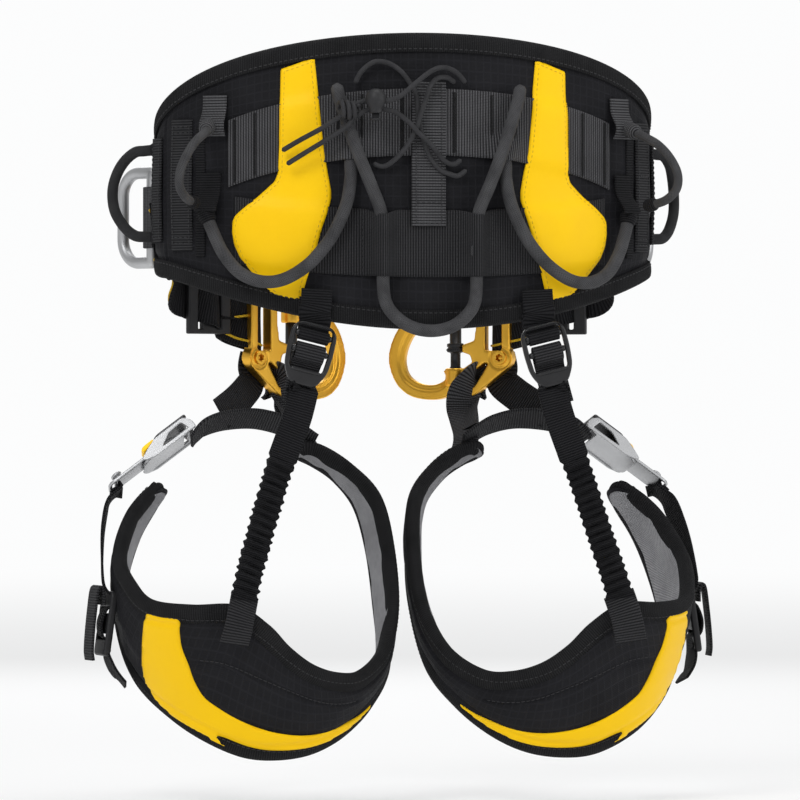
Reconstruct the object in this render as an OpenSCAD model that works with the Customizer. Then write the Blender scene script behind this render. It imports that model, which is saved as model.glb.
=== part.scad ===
// Tree climbing saddle: padded waist belt, gated ventral rings and two leg loops.
// +X is the wearer's right, +Y the wearer's front and +Z up.
// The origin is the centre of the waist opening.

/* [Waist belt] */
// Half width of the belt's outer shell
belt_half_w = 170; // [166:1:174]
// Depth of the shell from its widest line to the small of the back
belt_back_d = 76; // [74:1:78]
// Thickness of the foam
foam_t = 9; // [7:1:11]
// Height of the belt's top edge at the centre of the back
belt_top_h = 98; // [94:1:100]
// Depth of the belt's bottom edge at the centre of the back
belt_drop = 97; // [94:1:99]

/* [Webbing] */
// Width of the wide load webbing
wide_web = 45; // [43:1:46]
// Width of the riser webbing
riser_web = 20; // [18:1:21]
// Width of the leg strap webbing
leg_web = 24; // [22:1:25]
// Thickness of the webbing
web_t = 2; // [1.6:0.1:2.2]

/* [Cords] */
// Diameter of the large rear gear loops
gear_d = 8.6; // [8:0.1:9]
// Diameter of the small side loops
side_d = 6; // [5:0.5:6.5]
// Diameter of the outer hip loops
hip_d = 7.4; // [7:0.1:8]
// Diameter of the elastic lacing cord
lace_d = 3.4; // [3:0.1:3.6]

/* [Metalwork] */
// Thickness of the forged ventral plates
plate_t = 9; // [8:0.5:10]
// Diameter of the gate pin in each ventral ring
gate_d = 8.2; // [7.8:0.1:8.4]
// Diameter of the bolt through each ventral plate
bolt_d = 6; // [5:0.5:6.5]
// Stock diameter of the side rings
ring_d = 8; // [7:0.5:8.5]

/* [Leg loops] */
// Thickness of the leg pads
leg_pad_t = 9; // [8:0.5:10]

/* [Hidden] */

// Radial clearance of every running fit
run_fit = 0.05;
// Gap left between layers that lie on each other
layer_gap = 0.4;
// Angle either side of the back at which the padding ends
belt_end = 115;
// Angular step between the belt's cross-sections
belt_step = 4;
// Sides of a thick and of a thin cord
cord_sides = 10;
lace_sides = 8;

// Vector helpers
function unit(v) = v / norm(v);
function tangent(p, i) = unit(p[min(i + 1, len(p) - 1)] - p[max(i - 1, 0)]);
// Catmull-Rom curve through a list of points, n steps to a span
function spline_at(a, b, c, d, t) = 0.5 * (2 * b + (c - a) * t + (2 * a - 5 * b + 4 * c - d) * t * t
    + (3 * b - a - 3 * c + d) * t * t * t);
function curve(p, n) = concat(
    [for (i = [0:len(p) - 2]) for (j = [0:n - 1])
        spline_at(p[max(i - 1, 0)], p[i], p[i + 1], p[min(i + 2, len(p) - 1)], j / n)],
    [p[len(p) - 1]]);
// Sideways directions carried along a path without twist
function carried(p, i, u) = i >= len(p) ? [] :
    let (t = tangent(p, i), w = unit(u - (u * t) * t)) concat([w], carried(p, i + 1, w));

// Solid through a row of rings that all have the same number of points
module skin(rings) {
    k = len(rings[0]);
    n = len(rings);
    polyhedron(
        points = [for (r = rings) for (q = r) q],
        faces = concat(
            [[for (j = [0:k - 1]) j]],
            [for (i = [0:n - 2]) for (j = [0:k - 1])
                let (a = i * k + j, b = i * k + (j + 1) % k) [a, a + k, b + k]],
            [for (i = [0:n - 2]) for (j = [0:k - 1])
                let (a = i * k + j, b = i * k + (j + 1) % k) [a, b + k, b]],
            [[for (j = [k - 1:-1:0]) (n - 1) * k + j]]));
}

// Round cord of diameter d along a path
module cord(p, d, sides, u = [0, 0, 1]) {
    side = carried(p, 0, u);
    skin([for (i = [0:len(p) - 1]) let (t = tangent(p, i), v = cross(t, side[i]))
        [for (j = [0:sides - 1]) let (a = j * 360 / sides)
            p[i] + d / 2 * (cos(a) * side[i] + sin(a) * v)]]);
}

// Flat strap along a path, with its width direction given at each end
module strap(p, w, t, start, finish) {
    last = len(p) - 1;
    skin([for (i = [0:last]) let (
            along = tangent(p, i),
            mix = start + (finish - start) * i / last,
            across = unit(mix - (mix * along) * along),
            up = cross(along, across))
        [for (c = [[1, 1], [-1, 1], [-1, -1], [1, -1]])
            p[i] + across * c[0] * w / 2 + up * c[1] * t / 2]]);
}

// Left-hand copy of a right-hand part
module side(s) {
    if (s > 0) {
        children();
    } else {
        mirror([1, 0, 0]) children();
    }
}

// ---- Belt surface: a is the angle from the centre of the back, off the distance outside the shell
function belt_xy(a, off) = let (n = unit([sin(a) / belt_half_w, -cos(a) / belt_back_d]))
    [belt_half_w * sin(a) + off * n[0], -belt_back_d * cos(a) + off * n[1]];
function on_belt(a, z, off) = concat(belt_xy(a, off), [z]);
side_top = 36;
side_bottom = 62;
function belt_top(a) = side_top + (belt_top_h - side_top) * cos(0.9 * a);
function belt_bottom(a) = -side_bottom - (belt_drop - side_bottom) * pow(max(cos(a), 0), 2)
    + 14 * max(abs(a) - 90, 0) / (belt_end - 90);
// Angles of the cross-sections between two limits
function stations(a0, a1, step) = concat([a0],
    [for (i = [floor(a0 / step) + 1:ceil(a1 / step) - 1]) i * step], [a1]);
// Band lying on the belt between angle functions of height, given as [angle, low, high] rows
module belt_band(rows, inner, outer) {
    skin([for (r = rows) [
        on_belt(r[0], r[2], outer), on_belt(r[0], r[1], outer),
        on_belt(r[0], r[1], inner), on_belt(r[0], r[2], inner)]]);
}

module belt_pad() {
    shell_t = 3;
    edge = 7;
    inner = -shell_t - layer_gap - foam_t;
    outer = -shell_t - layer_gap;
    color("dimgray") skin([for (a = stations(-belt_end, belt_end, belt_step))
        let (top = belt_top(a) - 1, bottom = belt_bottom(a) + 1) [
            on_belt(a, top, outer), on_belt(a, bottom, outer),
            on_belt(a, bottom, outer - 3), on_belt(a, bottom + edge, inner),
            on_belt(a, top - edge, inner), on_belt(a, top, outer - 3)]]);
}

module belt_shell() {
    shell_t = 3;
    color("#26262a") belt_band([for (a = stations(-belt_end, belt_end, belt_step))
        [a, belt_bottom(a), belt_top(a)]], -shell_t, 0);
}

// Height of the middle of the upper and lower load webbings
function upper_mid(a) = 40 - 0.0086 * a * a;
function lower_mid(a) = -41.5 + 0.004 * a * a;
upper_end = 50;
lower_end = 48;

module upper_webbing() {
    color("#2f2f33") belt_band([for (a = stations(-upper_end, upper_end, belt_step))
        [a, upper_mid(a) - wide_web / 2, upper_mid(a) + wide_web / 2]],
        layer_gap, layer_gap + web_t);
}

module lower_webbing() {
    color("#2a2a2e") belt_band([for (a = stations(-lower_end, lower_end, belt_step))
        [a, lower_mid(a) - wide_web / 2, lower_mid(a) + wide_web / 2]],
        layer_gap, layer_gap + web_t);
}

// The straps that lie over the load webbing
second_layer = 2 * layer_gap + web_t;

module centre_strap() {
    half_angle = 3.8;
    color("#303034") belt_band([for (a = [-half_angle, 0, half_angle]) [a, -30, 67]],
        second_layer, second_layer + 1.6);
}

// Rows of the coated side panel: angle, lowest and highest point
panel_rows = [
    [22.5, -14, -5], [23.5, -22, 20], [25, -32, 46], [26.4, -46, 82], [28.5, -68, 80.5],
    [30, -81, 79], [34, -78, 75.5], [35.2, -77.5, 22], [37.5, -76, 0], [41, -74, -10],
    [44, -62, -17], [48, -38, -24]];

module side_panel() {
    color("#ffcc00") belt_band(panel_rows, second_layer, second_layer + 1.8);
}

module side_strap() {
    rows = [for (a = [62, 66, 70, 74]) [a, -44 + (a - 62) * 0.6, 46 - (a - 62) * 0.7]];
    color("#303034") belt_band(rows, layer_gap, layer_gap + web_t);
}

// Cord centrelines on the belt, as [angle, height, distance outside the shell]
lift = 7.2;
gear_route = [
    [17.9, 10, 6.2], [17.9, 2, 6.6], [18.8, -14, 8.5], [21, -30, 10], [24, -44, 11],
    [28.3, -57, 13], [34, -66, 14], [39.7, -67, 14], [45.3, -61, 13], [50, -49, 11],
    [53.3, -36, 9], [56, -24, lift], [57, -17, lift]];
centre_route = [
    [21, 65.5, 9], [20.6, 56, 9.5], [17, 24, 10.5], [13.5, -2, 11], [11, -22, 8.5], [10.3, -45, 8.5],
    [10.6, -68, 8.5], [9.6, -84, 10], [5.4, -96, 11], [0, -100, 11.5], [-5.4, -96, 11],
    [-9.6, -84, 10], [-10.6, -68, 8.5], [-10.3, -45, 8.5], [-11, -22, 8.5], [-13.5, -2, 11],
    [-17, 24, 10.5], [-20.6, 56, 9.5], [-21, 65.5, 9]];
side_loop_route = [
    [148, -61, 34], [150, -68, 32], [158, -78, 26], [165, -84, 17], [170, -86, 6],
    [170, -83, -4], [165, -76, -11], [159, -66, -14], [154, -58, -15]];
hip_loop_route = [
    [178, 6, 22], [184, 9, 21], [190, 16, 15], [194, 24, 6], [196, 28, -5],
    [195, 25, -18], [190, 17, -29], [184, 10, -35], [178, 6, -36]];
function belt_path(route, s, n) = [for (q = curve(route, n)) on_belt(s * q[0], q[1], q[2])];

module gear_loop() {
    color("#3c3c40") cord(belt_path(gear_route, 1, 3), gear_d, cord_sides, [0, -1, 0]);
}

module centre_loop() {
    color("#3c3c40") cord(belt_path(centre_route, 1, 3), gear_d, cord_sides, [0, -1, 0]);
}

module side_loop() {
    color("#3c3c40") cord(curve(side_loop_route, 3), side_d, cord_sides, [1, 0, 0]);
}

module hip_loop() {
    color("#202022") cord(curve(hip_loop_route, 3), hip_d, cord_sides, [1, 0, 0]);
}

// Elastic lacing across the upper webbing, with its two tails drawn through the cord lock
function back_point(q) =
    [q[0], -belt_back_d * cos(asin(q[0] / belt_half_w)) - q[2], q[1]];
// Each stretch as [across, height, distance outside the shell]: tails, toggle strands and arches
lace_routes = [
    [[-99, 20, 12], [-88, 27, 15], [-74, 35, 17.5], [-62, 43, 17.5], [-55, 49, 17.5],
        [-46, 53, 17.5], [-33, 53, 17.5], [-23, 56, 16.5], [-14, 63, 15], [-4, 71, 13.5],
        [3, 75, 12], [10, 76, 10], [18, 73, 8], [25, 66, 6]],
    [[-96, 11, 12], [-84, 19, 15], [-70, 28, 17.5], [-58, 36, 17.5], [-53, 42, 17.5],
        [-44, 47, 17.5], [-34, 47.5, 17.5], [-25, 45.5, 16.5], [-16, 39, 15], [-9, 32, 14],
        [0, 24, 12], [7, 16, 9], [13, 12, 7], [18, 12, 6], [22, 15, 5.5]],
    [[-50, 65, 5], [-46, 73, 5.5], [-39, 79, 6], [-33, 80, 6], [-26, 78, 6], [-19, 73, 6],
        [-13, 65, 6.4], [-9, 57, 6.6], [-7, 38, 6.6], [-3, 24, 6.6], [1, 15, 6.6], [7, 8, 6.6],
        [14, 5, 6], [20, 4, 5], [26, 8, 4.5]],
    [[18, 66, 5], [12, 69.5, 6.5], [5, 69, 8.5], [0, 64, 10], [-3, 56, 10.4], [-7, 44, 10.4],
        [-10, 35, 10.4], [-15, 25, 9], [-21, 17, 7], [-28, 11, 5], [-33, 10, 4.5], [-38, 12, 4.5]]];

module lacing_cord() {
    color("#303032") for (route = lace_routes)
        cord([for (q = curve(route, 2)) back_point(q)], lace_d, lace_sides, [0, 0.3, 1]);
}

// Cord lock: a barrel pressed by a spring button, squeezing the lacing
lock_at = back_point([-40, 54, 23.5]);
lock_r = 6.5;
button_r = 2.5;

module cord_lock() {
    color("#222224") translate(lock_at) difference() {
        union() {
            sphere(r = lock_r, $fn = 32);
            translate([0, 0, -9]) cylinder(r = 4.2, h = 9, $fn = 32);
        }
        translate([0, 0, -12]) cylinder(r = button_r + run_fit, h = 12, $fn = 32);
    }
}

module cord_lock_button() {
    color("#303032") translate(lock_at + [0, 0, -12.5]) {
        cylinder(r = button_r, h = 8.5, $fn = 32);
        translate([0, 0, -1.5]) cylinder(r = 4, h = 1.5, $fn = 32);
    }
}

// Front webbing, from the end of the padding to the slot of the ventral plate
front_route = [[156, 37, -44], [149, 48, -54], [136, 62, -66], [118, 75, -78], [99, 86, -86]];

module front_webbing() {
    color("#2a2a2e") strap(curve(front_route, 4), wide_web, web_t, [0.1, 0.1, 1], [0, 0, 1]);
}

// Local frame of the belt buckle: x along the webbing, y across it, z away from the body
buckle_at = [123.4, 63.7, -73];
buckle_turn = [90, 0, 146];

module belt_buckle() {
    length = 40;
    height = 56;
    bar = 3.8;
    color("#8f9196") translate(buckle_at) rotate(buckle_turn) difference() {
        translate([-length / 2, -height / 2, -2]) cube([length, height, 4]);
        for (x = [-length / 4 + 1, length / 4 - 1])
            translate([x - bar / 2, -wide_web / 2 - 2, -3]) cube([bar, wide_web + 4, 6]);
    }
}

// Side ring: a D turning about its straight bar, which a webbing tab holds to the belt
ring_axis_at = on_belt(108, -22.5, 8.5);
ring_turn = 58.8;
ring_half_h = 30.5;
ring_reach = 30;
ring_corner = 16;

module side_ring() {
    r = ring_d / 2;
    color("silver") translate(ring_axis_at) rotate([0, 0, ring_turn]) {
        translate([0, 0, -ring_half_h]) cylinder(r = r, h = 2 * ring_half_h, $fn = 32);
        for (s = [-1, 1]) translate([0, 0, s * ring_half_h]) {
            sphere(r = r, $fn = 32);
            rotate([0, 90, 0]) cylinder(r = r, h = ring_reach - ring_corner, $fn = 32);
            translate([ring_reach - ring_corner, 0, -s * ring_corner])
                rotate([90, 0, 0]) rotate([0, 0, s > 0 ? 0 : -90])
                rotate_extrude(angle = 90, $fn = 48) translate([ring_corner, 0]) circle(r = r, $fn = 32);
        }
        translate([ring_reach, 0, -ring_half_h + ring_corner])
            cylinder(r = r, h = 2 * (ring_half_h - ring_corner), $fn = 32);
    }
}

module ring_tab() {
    wall = 2;
    height = 42;
    color("#2a2a2e") translate(ring_axis_at - [0, 0, height / 2]) difference() {
        union() {
            cylinder(r = ring_d / 2 + run_fit + wall, h = height, $fn = 48);
            rotate([0, 0, 216]) translate([5, -4, 0]) cube([2.5, 18, height]);
        }
        translate([0, 0, -1]) cylinder(r = ring_d / 2 + run_fit, h = height + 2, $fn = 48);
    }
}

// Riser: tab from the belt, ladder-lock buckle, webbing and gathered elastic down to the leg pad
riser_top = [76, -76, -84];
riser_lock = [82, -80, -117];
riser_route = [[85, -79, -139], [90, -80, -158], [98, -80, -180], [105, -81, -200],
    [116, -85, -235], [126, -91, -268], [131, -96, -290]];

lock_turn = [90, -14, 0];
// The ladder lock's top bar, above the middle of the buckle, and the tab's sleeve round it
bar_up = 14.2;
bar_r = 2.2;
sleeve_wall = 1.3;

module riser_tab() {
    sleeve_r = bar_r + run_fit + sleeve_wall;
    color("#26262a") {
        strap(curve([riser_top, [77.5, -78, -90], [78.4, -79.5, -99.2]], 2),
            riser_web, web_t, [1, 0, 0.25], [1, 0, 0.25]);
        translate(riser_lock) rotate(lock_turn) translate([0, bar_up, 0]) rotate([0, 90, 0]) difference() {
            cylinder(r = sleeve_r, h = riser_web, center = true, $fn = 48);
            cylinder(r = bar_r + run_fit, h = riser_web + 2, center = true, $fn = 48);
        }
    }
}

// Three-bar buckle: the round top bar hangs in the tab and the webbing wraps the two others
module ladder_lock() {
    half_w = riser_web / 2 + 5;
    half_h = 19;
    slot = 3.8;
    window_w = riser_web + 2;
    window_low = 7.6;
    color("#1f1f21") translate(riser_lock) rotate(lock_turn) {
        difference() {
            linear_extrude(height = 3.6, center = true) polygon([
                [-half_w + 5, half_h], [half_w - 5, half_h], [half_w, half_h - 5], [half_w, -half_h / 2],
                [half_w - 6, -half_h], [-half_w + 6, -half_h], [-half_w, -half_h / 2],
                [-half_w, half_h - 5]]);
            for (y = [0, -8.5])
                translate([-window_w / 2, y - slot / 2, -3]) cube([window_w, slot, 6]);
            translate([-window_w / 2, window_low, -3]) cube([window_w, half_h, 6]);
        }
        translate([0, bar_up, 0]) rotate([0, 90, 0])
            cylinder(r = bar_r, h = window_w + 4, center = true, $fn = 48);
    }
}

module riser() {
    color("#2a2a2e") strap(curve(riser_route, 3), riser_web, web_t, [1, 0, 0.3], [1, -0.4, 0.4]);
}

// Ventral plate, seen along its thickness: x runs towards the ring and y up, from the bolt
plate_at = [87, 83, -117];
plate_turn = [90, 0, 148];
gate_x = 34;
boss_r = 7.2;
boss_top = -7;
boss_low = -19;
tip_low = 24;
tip_top = 34;

ring_outer = [[30, -22], [42, -28], [54, -29], [67, -26], [77, -17], [82, -2], [79, 13], [70, 26],
    [56, 33], [42, 34], [34, 33]];
ring_inner = [[34, 26], [44, 26], [56, 24], [65, 15], [70, 4], [70.5, -5], [67, -13], [58, -18],
    [48, -18.5], [40, -15], [34, -12]];
slot_reach = 47;
arm_w = 6;

module plate_outline() {
    difference() {
        union() {
            polygon(concat(curve(ring_outer, 4), curve(ring_inner, 4)));
            circle(r = 9, $fn = 48);
            polygon([[-7, -2], [-7, slot_reach + arm_w], [17, slot_reach + arm_w], [17.5, 22],
                [19, 12], [28, 9], [28, 4], [22, 2], [20.5, -3], [28, -8], [42, -9], [34, -22],
                [20, -27], [12, -21], [-6, -7]]);
        }
        translate([-1, 5]) square([12, slot_reach - 5]);
        polygon([[8, -3], [12, -4], [27, -15], [26, -19], [19, -20]]);
    }
}

module at_plate() {
    translate(plate_at) rotate(plate_turn) children();
}

module ventral_plate() {
    color("goldenrod") at_plate() difference() {
        union() {
            linear_extrude(height = plate_t, center = true) plate_outline();
            translate([gate_x, boss_low, 0]) rotate([-90, 0, 0])
                cylinder(r = boss_r, h = boss_top - boss_low, $fn = 48);
            translate([gate_x, tip_low, 0]) rotate([-90, 0, 0])
                cylinder(r = boss_r, h = tip_top - tip_low, $fn = 48);
        }
        cylinder(r = bolt_d / 2 + run_fit, h = 3 * plate_t, center = true, $fn = 48);
        translate([gate_x, boss_top - 8, 0]) rotate([-90, 0, 0])
            cylinder(r = gate_d / 2 + run_fit, h = 80, $fn = 48);
    }
}

module plate_bolt() {
    head_r = bolt_d / 2 + 1.8;
    head_t = 1.8;
    color("goldenrod") at_plate() {
        cylinder(r = bolt_d / 2, h = plate_t, center = true, $fn = 48);
        for (s = [-1, 1]) translate([0, 0, s * (plate_t / 2 + head_t / 2)])
            cylinder(r = head_r, h = head_t, center = true, $fn = 48);
    }
}

// Screw pin of the gate, with its grip collar between the boss and the ring's tip
module gate_pin() {
    grip_r = 6;
    grip_low = 4;
    grip_h = 6;
    color("#2b2b2e") at_plate() {
        translate([gate_x, boss_top - 7.5, 0]) rotate([-90, 0, 0])
            cylinder(r = gate_d / 2, h = tip_top - boss_top + 8.5, $fn = 48);
        translate([gate_x, grip_low, 0]) rotate([-90, 0, 0])
            cylinder(r = grip_r, h = grip_h, $fn = 48);
    }
}

// Leg pad: rows of the rim nearer the wearer's back and the rim nearer the front
near_rim = [
    [160, 42, -200], [183, 24, -222], [196, 0, -250], [193, -28, -268], [183, -50, -281],
    [160, -74, -284], [132, -86, -284], [111, -86, -297], [96, -83, -312], [79, -78, -324],
    [60, -69, -330], [42, -57, -329], [22, -38, -314], [10, -15, -286], [8, 8, -245],
    [13, 25, -212], [29, 38, -192], [48, 45, -179], [65, 48, -175]];
far_rim = [
    [157, 62, -212], [175, 58, -240], [187, 48, -275], [189, 22, -310], [182, -2, -338],
    [166, -26, -358], [146, -43, -373], [121, -50, -384], [97, -52, -386], [73, -49, -382],
    [51, -41, -371], [31, -27, -353], [16, -6, -328], [13, 28, -286], [15, 44, -250],
    [22, 54, -220], [36, 58, -201], [52, 60, -190], [67, 58, -184]];

module leg_pad() {
    near = curve(near_rim, 2);
    far = curve(far_rim, 2);
    rim_t = 4;
    rim_w = 6;
    color("#2a2a2e") skin([for (i = [0:len(near) - 1]) let (
            mid = [for (k = [0:len(near) - 1]) (near[k] + far[k]) / 2],
            along = tangent(mid, i),
            w = unit(near[i] - far[i]),
            n = unit(cross(along, w)),
            half = leg_pad_t / 2)
        [near[i] + n * rim_t / 2, near[i] - w * rim_w + n * half, far[i] + w * rim_w + n * half,
            far[i] + n * rim_t / 2, far[i] - n * rim_t / 2, far[i] + w * rim_w - n * half,
            near[i] - w * rim_w - n * half, near[i] - n * rim_t / 2]]);
}

// Straps between the pad's ends, the leg buckle and the ventral plate
front_strap_route = [[127, 47, -164], [112, 55, -160], [92, 59, -159], [74, 58, -163], [62, 55, -169]];
inner_strap_route = [[69.5, 92.5, -150], [67.5, 87, -152.5], [65.5, 79, -156], [64, 69, -159]];
outer_strap_route = [[87, 91, -134.5], [95, 82, -142], [104, 72, -149], [111, 66, -151.5]];

module front_strap() {
    color("#26262a") strap(curve(front_strap_route, 3), leg_web, web_t, [0, 0.84, -0.55], [0, 0.84, -0.55]);
}

module inner_strap() {
    color("#2f2f33") strap(curve(inner_strap_route, 3), leg_web, web_t, [0.84, -0.53, 0.1], [1, 0, 0.2]);
}

module outer_strap() {
    color("#26262a") strap(curve(outer_strap_route, 3), leg_web, web_t, [0.5, -0.3, 0.7], [0.7, -0.3, 0.6]);
}

// Quick buckle of the leg loop: x along it towards the tongue, y across, z away from the leg
leg_buckle_at = [152, 50, -184];
buckle_x = unit([68, -4, -50]);
buckle_z = unit([0.58, 0.35, 0.7] - ([0.58, 0.35, 0.7] * buckle_x) * buckle_x);
buckle_y = cross(buckle_z, buckle_x);
module at_leg_buckle() {
    multmatrix([
        [buckle_x[0], buckle_y[0], buckle_z[0], leg_buckle_at[0]],
        [buckle_x[1], buckle_y[1], buckle_z[1], leg_buckle_at[1]],
        [buckle_x[2], buckle_y[2], buckle_z[2], leg_buckle_at[2]],
        [0, 0, 0, 1]]) children();
}
leg_buckle_w = 30;
leg_buckle_l = 42;
tongue_w = 20;
tongue_t = 2.4;
channel_z = 7;

module leg_buckle() {
    wall = 2.2;
    color("#a9abad") at_leg_buckle() difference() {
        union() {
            translate([-22, -leg_buckle_w / 2, channel_z - 2 * wall])
                cube([leg_buckle_l, leg_buckle_w, wall]);
            for (s = [-1, 1]) translate([-22, s * (leg_buckle_w - wall) / 2 - wall / 2, channel_z - 2 * wall])
                cube([leg_buckle_l - 6, wall, 3 * wall + 3]);
            translate([-22, -leg_buckle_w / 2, channel_z + wall + 1])
                cube([24, leg_buckle_w, wall]);
        }
        translate([-18, -leg_buckle_w / 2 + 3, channel_z - 3 * wall])
            cube([3.8, leg_buckle_w - 6, 2 * wall]);
    }
}

module buckle_latch() {
    color("#f2b705") at_leg_buckle()
        translate([3.5, -10, channel_z + 4]) cube([11, 20, 3.4]);
}

module buckle_tongue() {
    color("#c9cbcd") at_leg_buckle() {
        translate([-8, -tongue_w / 2, channel_z - tongue_t / 2])
            cube([56, tongue_w, tongue_t]);
        translate([38, 0, channel_z]) cylinder(r = 4, h = 6, $fn = 32);
    }
}

// Adjusting buckle that keeps the leg strap on the outside of the pad
keeper_at = [203.9, 8, -297];
keeper_turn = [0, 82, -6];
module strap_keeper() {
    length = 44;
    width = 26;
    color("#202022") translate(keeper_at) rotate(keeper_turn) difference() {
        translate([-length / 2, -width / 2, -3]) cube([length, width, 6]);
        for (x = [-11, 7]) translate([x, -width / 2 + 3, -4]) cube([3.8, width - 6, 8]);
    }
}

belt_pad();
belt_shell();
upper_webbing();
lower_webbing();
centre_strap();
side(-1) side_panel();  // side_panel_left
side(1) side_panel();  // side_panel_right
side(-1) side_strap();  // side_strap_left
side(1) side_strap();  // side_strap_right
side(-1) gear_loop();  // gear_loop_left
side(1) gear_loop();  // gear_loop_right
centre_loop();
side(-1) side_loop();  // side_loop_left
side(1) side_loop();  // side_loop_right
side(-1) hip_loop();  // hip_loop_left
side(1) hip_loop();  // hip_loop_right
lacing_cord();
cord_lock();
cord_lock_button();
side(-1) front_webbing();  // front_webbing_left
side(1) front_webbing();  // front_webbing_right
side(-1) belt_buckle();  // belt_buckle_left
side(1) belt_buckle();  // belt_buckle_right
side(-1) ring_tab();  // ring_tab_left
side(1) ring_tab();  // ring_tab_right
side(-1) side_ring();  // side_ring_left
side(1) side_ring();  // side_ring_right
side(-1) riser_tab();  // riser_tab_left
side(1) riser_tab();  // riser_tab_right
side(-1) ladder_lock();  // ladder_lock_left
side(1) ladder_lock();  // ladder_lock_right
side(-1) riser();  // riser_left
side(1) riser();  // riser_right
side(-1) ventral_plate();  // ventral_plate_left
side(1) ventral_plate();  // ventral_plate_right
side(-1) plate_bolt();  // plate_bolt_left
side(1) plate_bolt();  // plate_bolt_right
side(-1) gate_pin();  // gate_pin_left
side(1) gate_pin();  // gate_pin_right
side(-1) leg_pad();  // leg_pad_left
side(1) leg_pad();  // leg_pad_right
side(-1) front_strap();  // front_strap_left
side(1) front_strap();  // front_strap_right
side(-1) inner_strap();  // inner_strap_left
side(1) inner_strap();  // inner_strap_right
side(-1) outer_strap();  // outer_strap_left
side(1) outer_strap();  // outer_strap_right
side(-1) leg_buckle();  // leg_buckle_left
side(1) leg_buckle();  // leg_buckle_right
side(-1) buckle_latch();  // buckle_latch_left
side(1) buckle_latch();  // buckle_latch_right
side(-1) buckle_tongue();  // buckle_tongue_left
side(1) buckle_tongue();  // buckle_tongue_right
side(-1) strap_keeper();  // strap_keeper_left
side(1) strap_keeper();  // strap_keeper_right
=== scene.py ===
import math
import bpy
import bmesh
import numpy as np
from mathutils import Matrix, Vector, noise
from mathutils.geometry import delaunay_2d_cdt


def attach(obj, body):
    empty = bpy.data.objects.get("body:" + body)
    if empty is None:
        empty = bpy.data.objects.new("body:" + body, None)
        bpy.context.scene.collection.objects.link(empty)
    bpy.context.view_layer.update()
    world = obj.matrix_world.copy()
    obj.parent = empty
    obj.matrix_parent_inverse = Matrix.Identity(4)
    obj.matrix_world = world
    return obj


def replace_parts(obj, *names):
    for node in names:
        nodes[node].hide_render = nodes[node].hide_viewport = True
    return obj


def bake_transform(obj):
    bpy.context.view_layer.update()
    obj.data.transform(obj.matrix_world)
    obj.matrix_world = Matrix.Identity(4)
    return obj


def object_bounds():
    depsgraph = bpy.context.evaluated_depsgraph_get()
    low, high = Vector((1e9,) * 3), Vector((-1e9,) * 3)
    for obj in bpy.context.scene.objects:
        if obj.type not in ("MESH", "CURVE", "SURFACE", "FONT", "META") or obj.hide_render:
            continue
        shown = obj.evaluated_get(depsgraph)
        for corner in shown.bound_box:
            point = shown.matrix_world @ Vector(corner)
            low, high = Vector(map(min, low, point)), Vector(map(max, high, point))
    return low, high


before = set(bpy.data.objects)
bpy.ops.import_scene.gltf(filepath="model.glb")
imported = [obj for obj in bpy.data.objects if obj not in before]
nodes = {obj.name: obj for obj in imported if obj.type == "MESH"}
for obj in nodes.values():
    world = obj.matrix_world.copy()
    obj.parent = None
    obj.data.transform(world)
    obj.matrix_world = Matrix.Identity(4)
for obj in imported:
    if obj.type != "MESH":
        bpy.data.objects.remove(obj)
cad_box = [list(corner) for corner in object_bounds()]

# ---- Camera, light and floor
# The saddle is seen from behind, level and from far away, a little round to its left.
# It stands over a plain pale floor in even studio light.
scene = bpy.context.scene
scene.view_settings.view_transform = "Standard"
view_back = Vector((-0.2079, -0.9781, 0.0))
view_right = Vector((0.9781, -0.2079, 0.0))
camera_data = bpy.data.cameras.new("camera")
camera_data.sensor_width = 36
camera_data.lens = 331
camera = bpy.data.objects.new("camera", camera_data)
camera_aim = view_right * -0.0027 + Vector((0, 0, -0.1462))
camera.location = camera_aim + view_back * 5
camera.rotation_euler = (-view_back).to_track_quat("-Z", "Y").to_euler()
scene.collection.objects.link(camera)
scene.camera = camera

backdrop_white = (0.975, 0.978, 0.98, 1)
world = bpy.data.worlds.new("studio")
world.use_nodes = True
world.node_tree.nodes["Background"].inputs["Color"].default_value = backdrop_white
seen = world.node_tree.nodes.new("ShaderNodeLightPath")
level = world.node_tree.nodes.new("ShaderNodeMapRange")
level.inputs["To Min"].default_value = 0.5
level.inputs["To Max"].default_value = 1.0
world.node_tree.links.new(seen.outputs["Is Camera Ray"], level.inputs["Value"])
world.node_tree.links.new(level.outputs["Result"], world.node_tree.nodes["Background"].inputs["Strength"])
scene.world = world


def studio_light(name, place, size, watts):
    """A square soft box that faces the saddle."""
    data = bpy.data.lights.new(name, "AREA")
    data.size = size
    data.energy = watts
    box = bpy.data.objects.new(name, data)
    box.location = place
    box.rotation_euler = (Vector((0, 0, -0.12)) - Vector(place)).to_track_quat("-Z", "Y").to_euler()
    scene.collection.objects.link(box)


studio_light("key_soft_box", (-1.3, -1.9, 1.5), 0.9, 26)
studio_light("fill_soft_box", (1.9, -1.4, 0.5), 1.2, 12)
studio_light("top_soft_box", (0.2, -0.2, 2.2), 1.1, 16)
studio_light("front_soft_box", (0.3, 2.2, 0.9), 1.2, 12)

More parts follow.
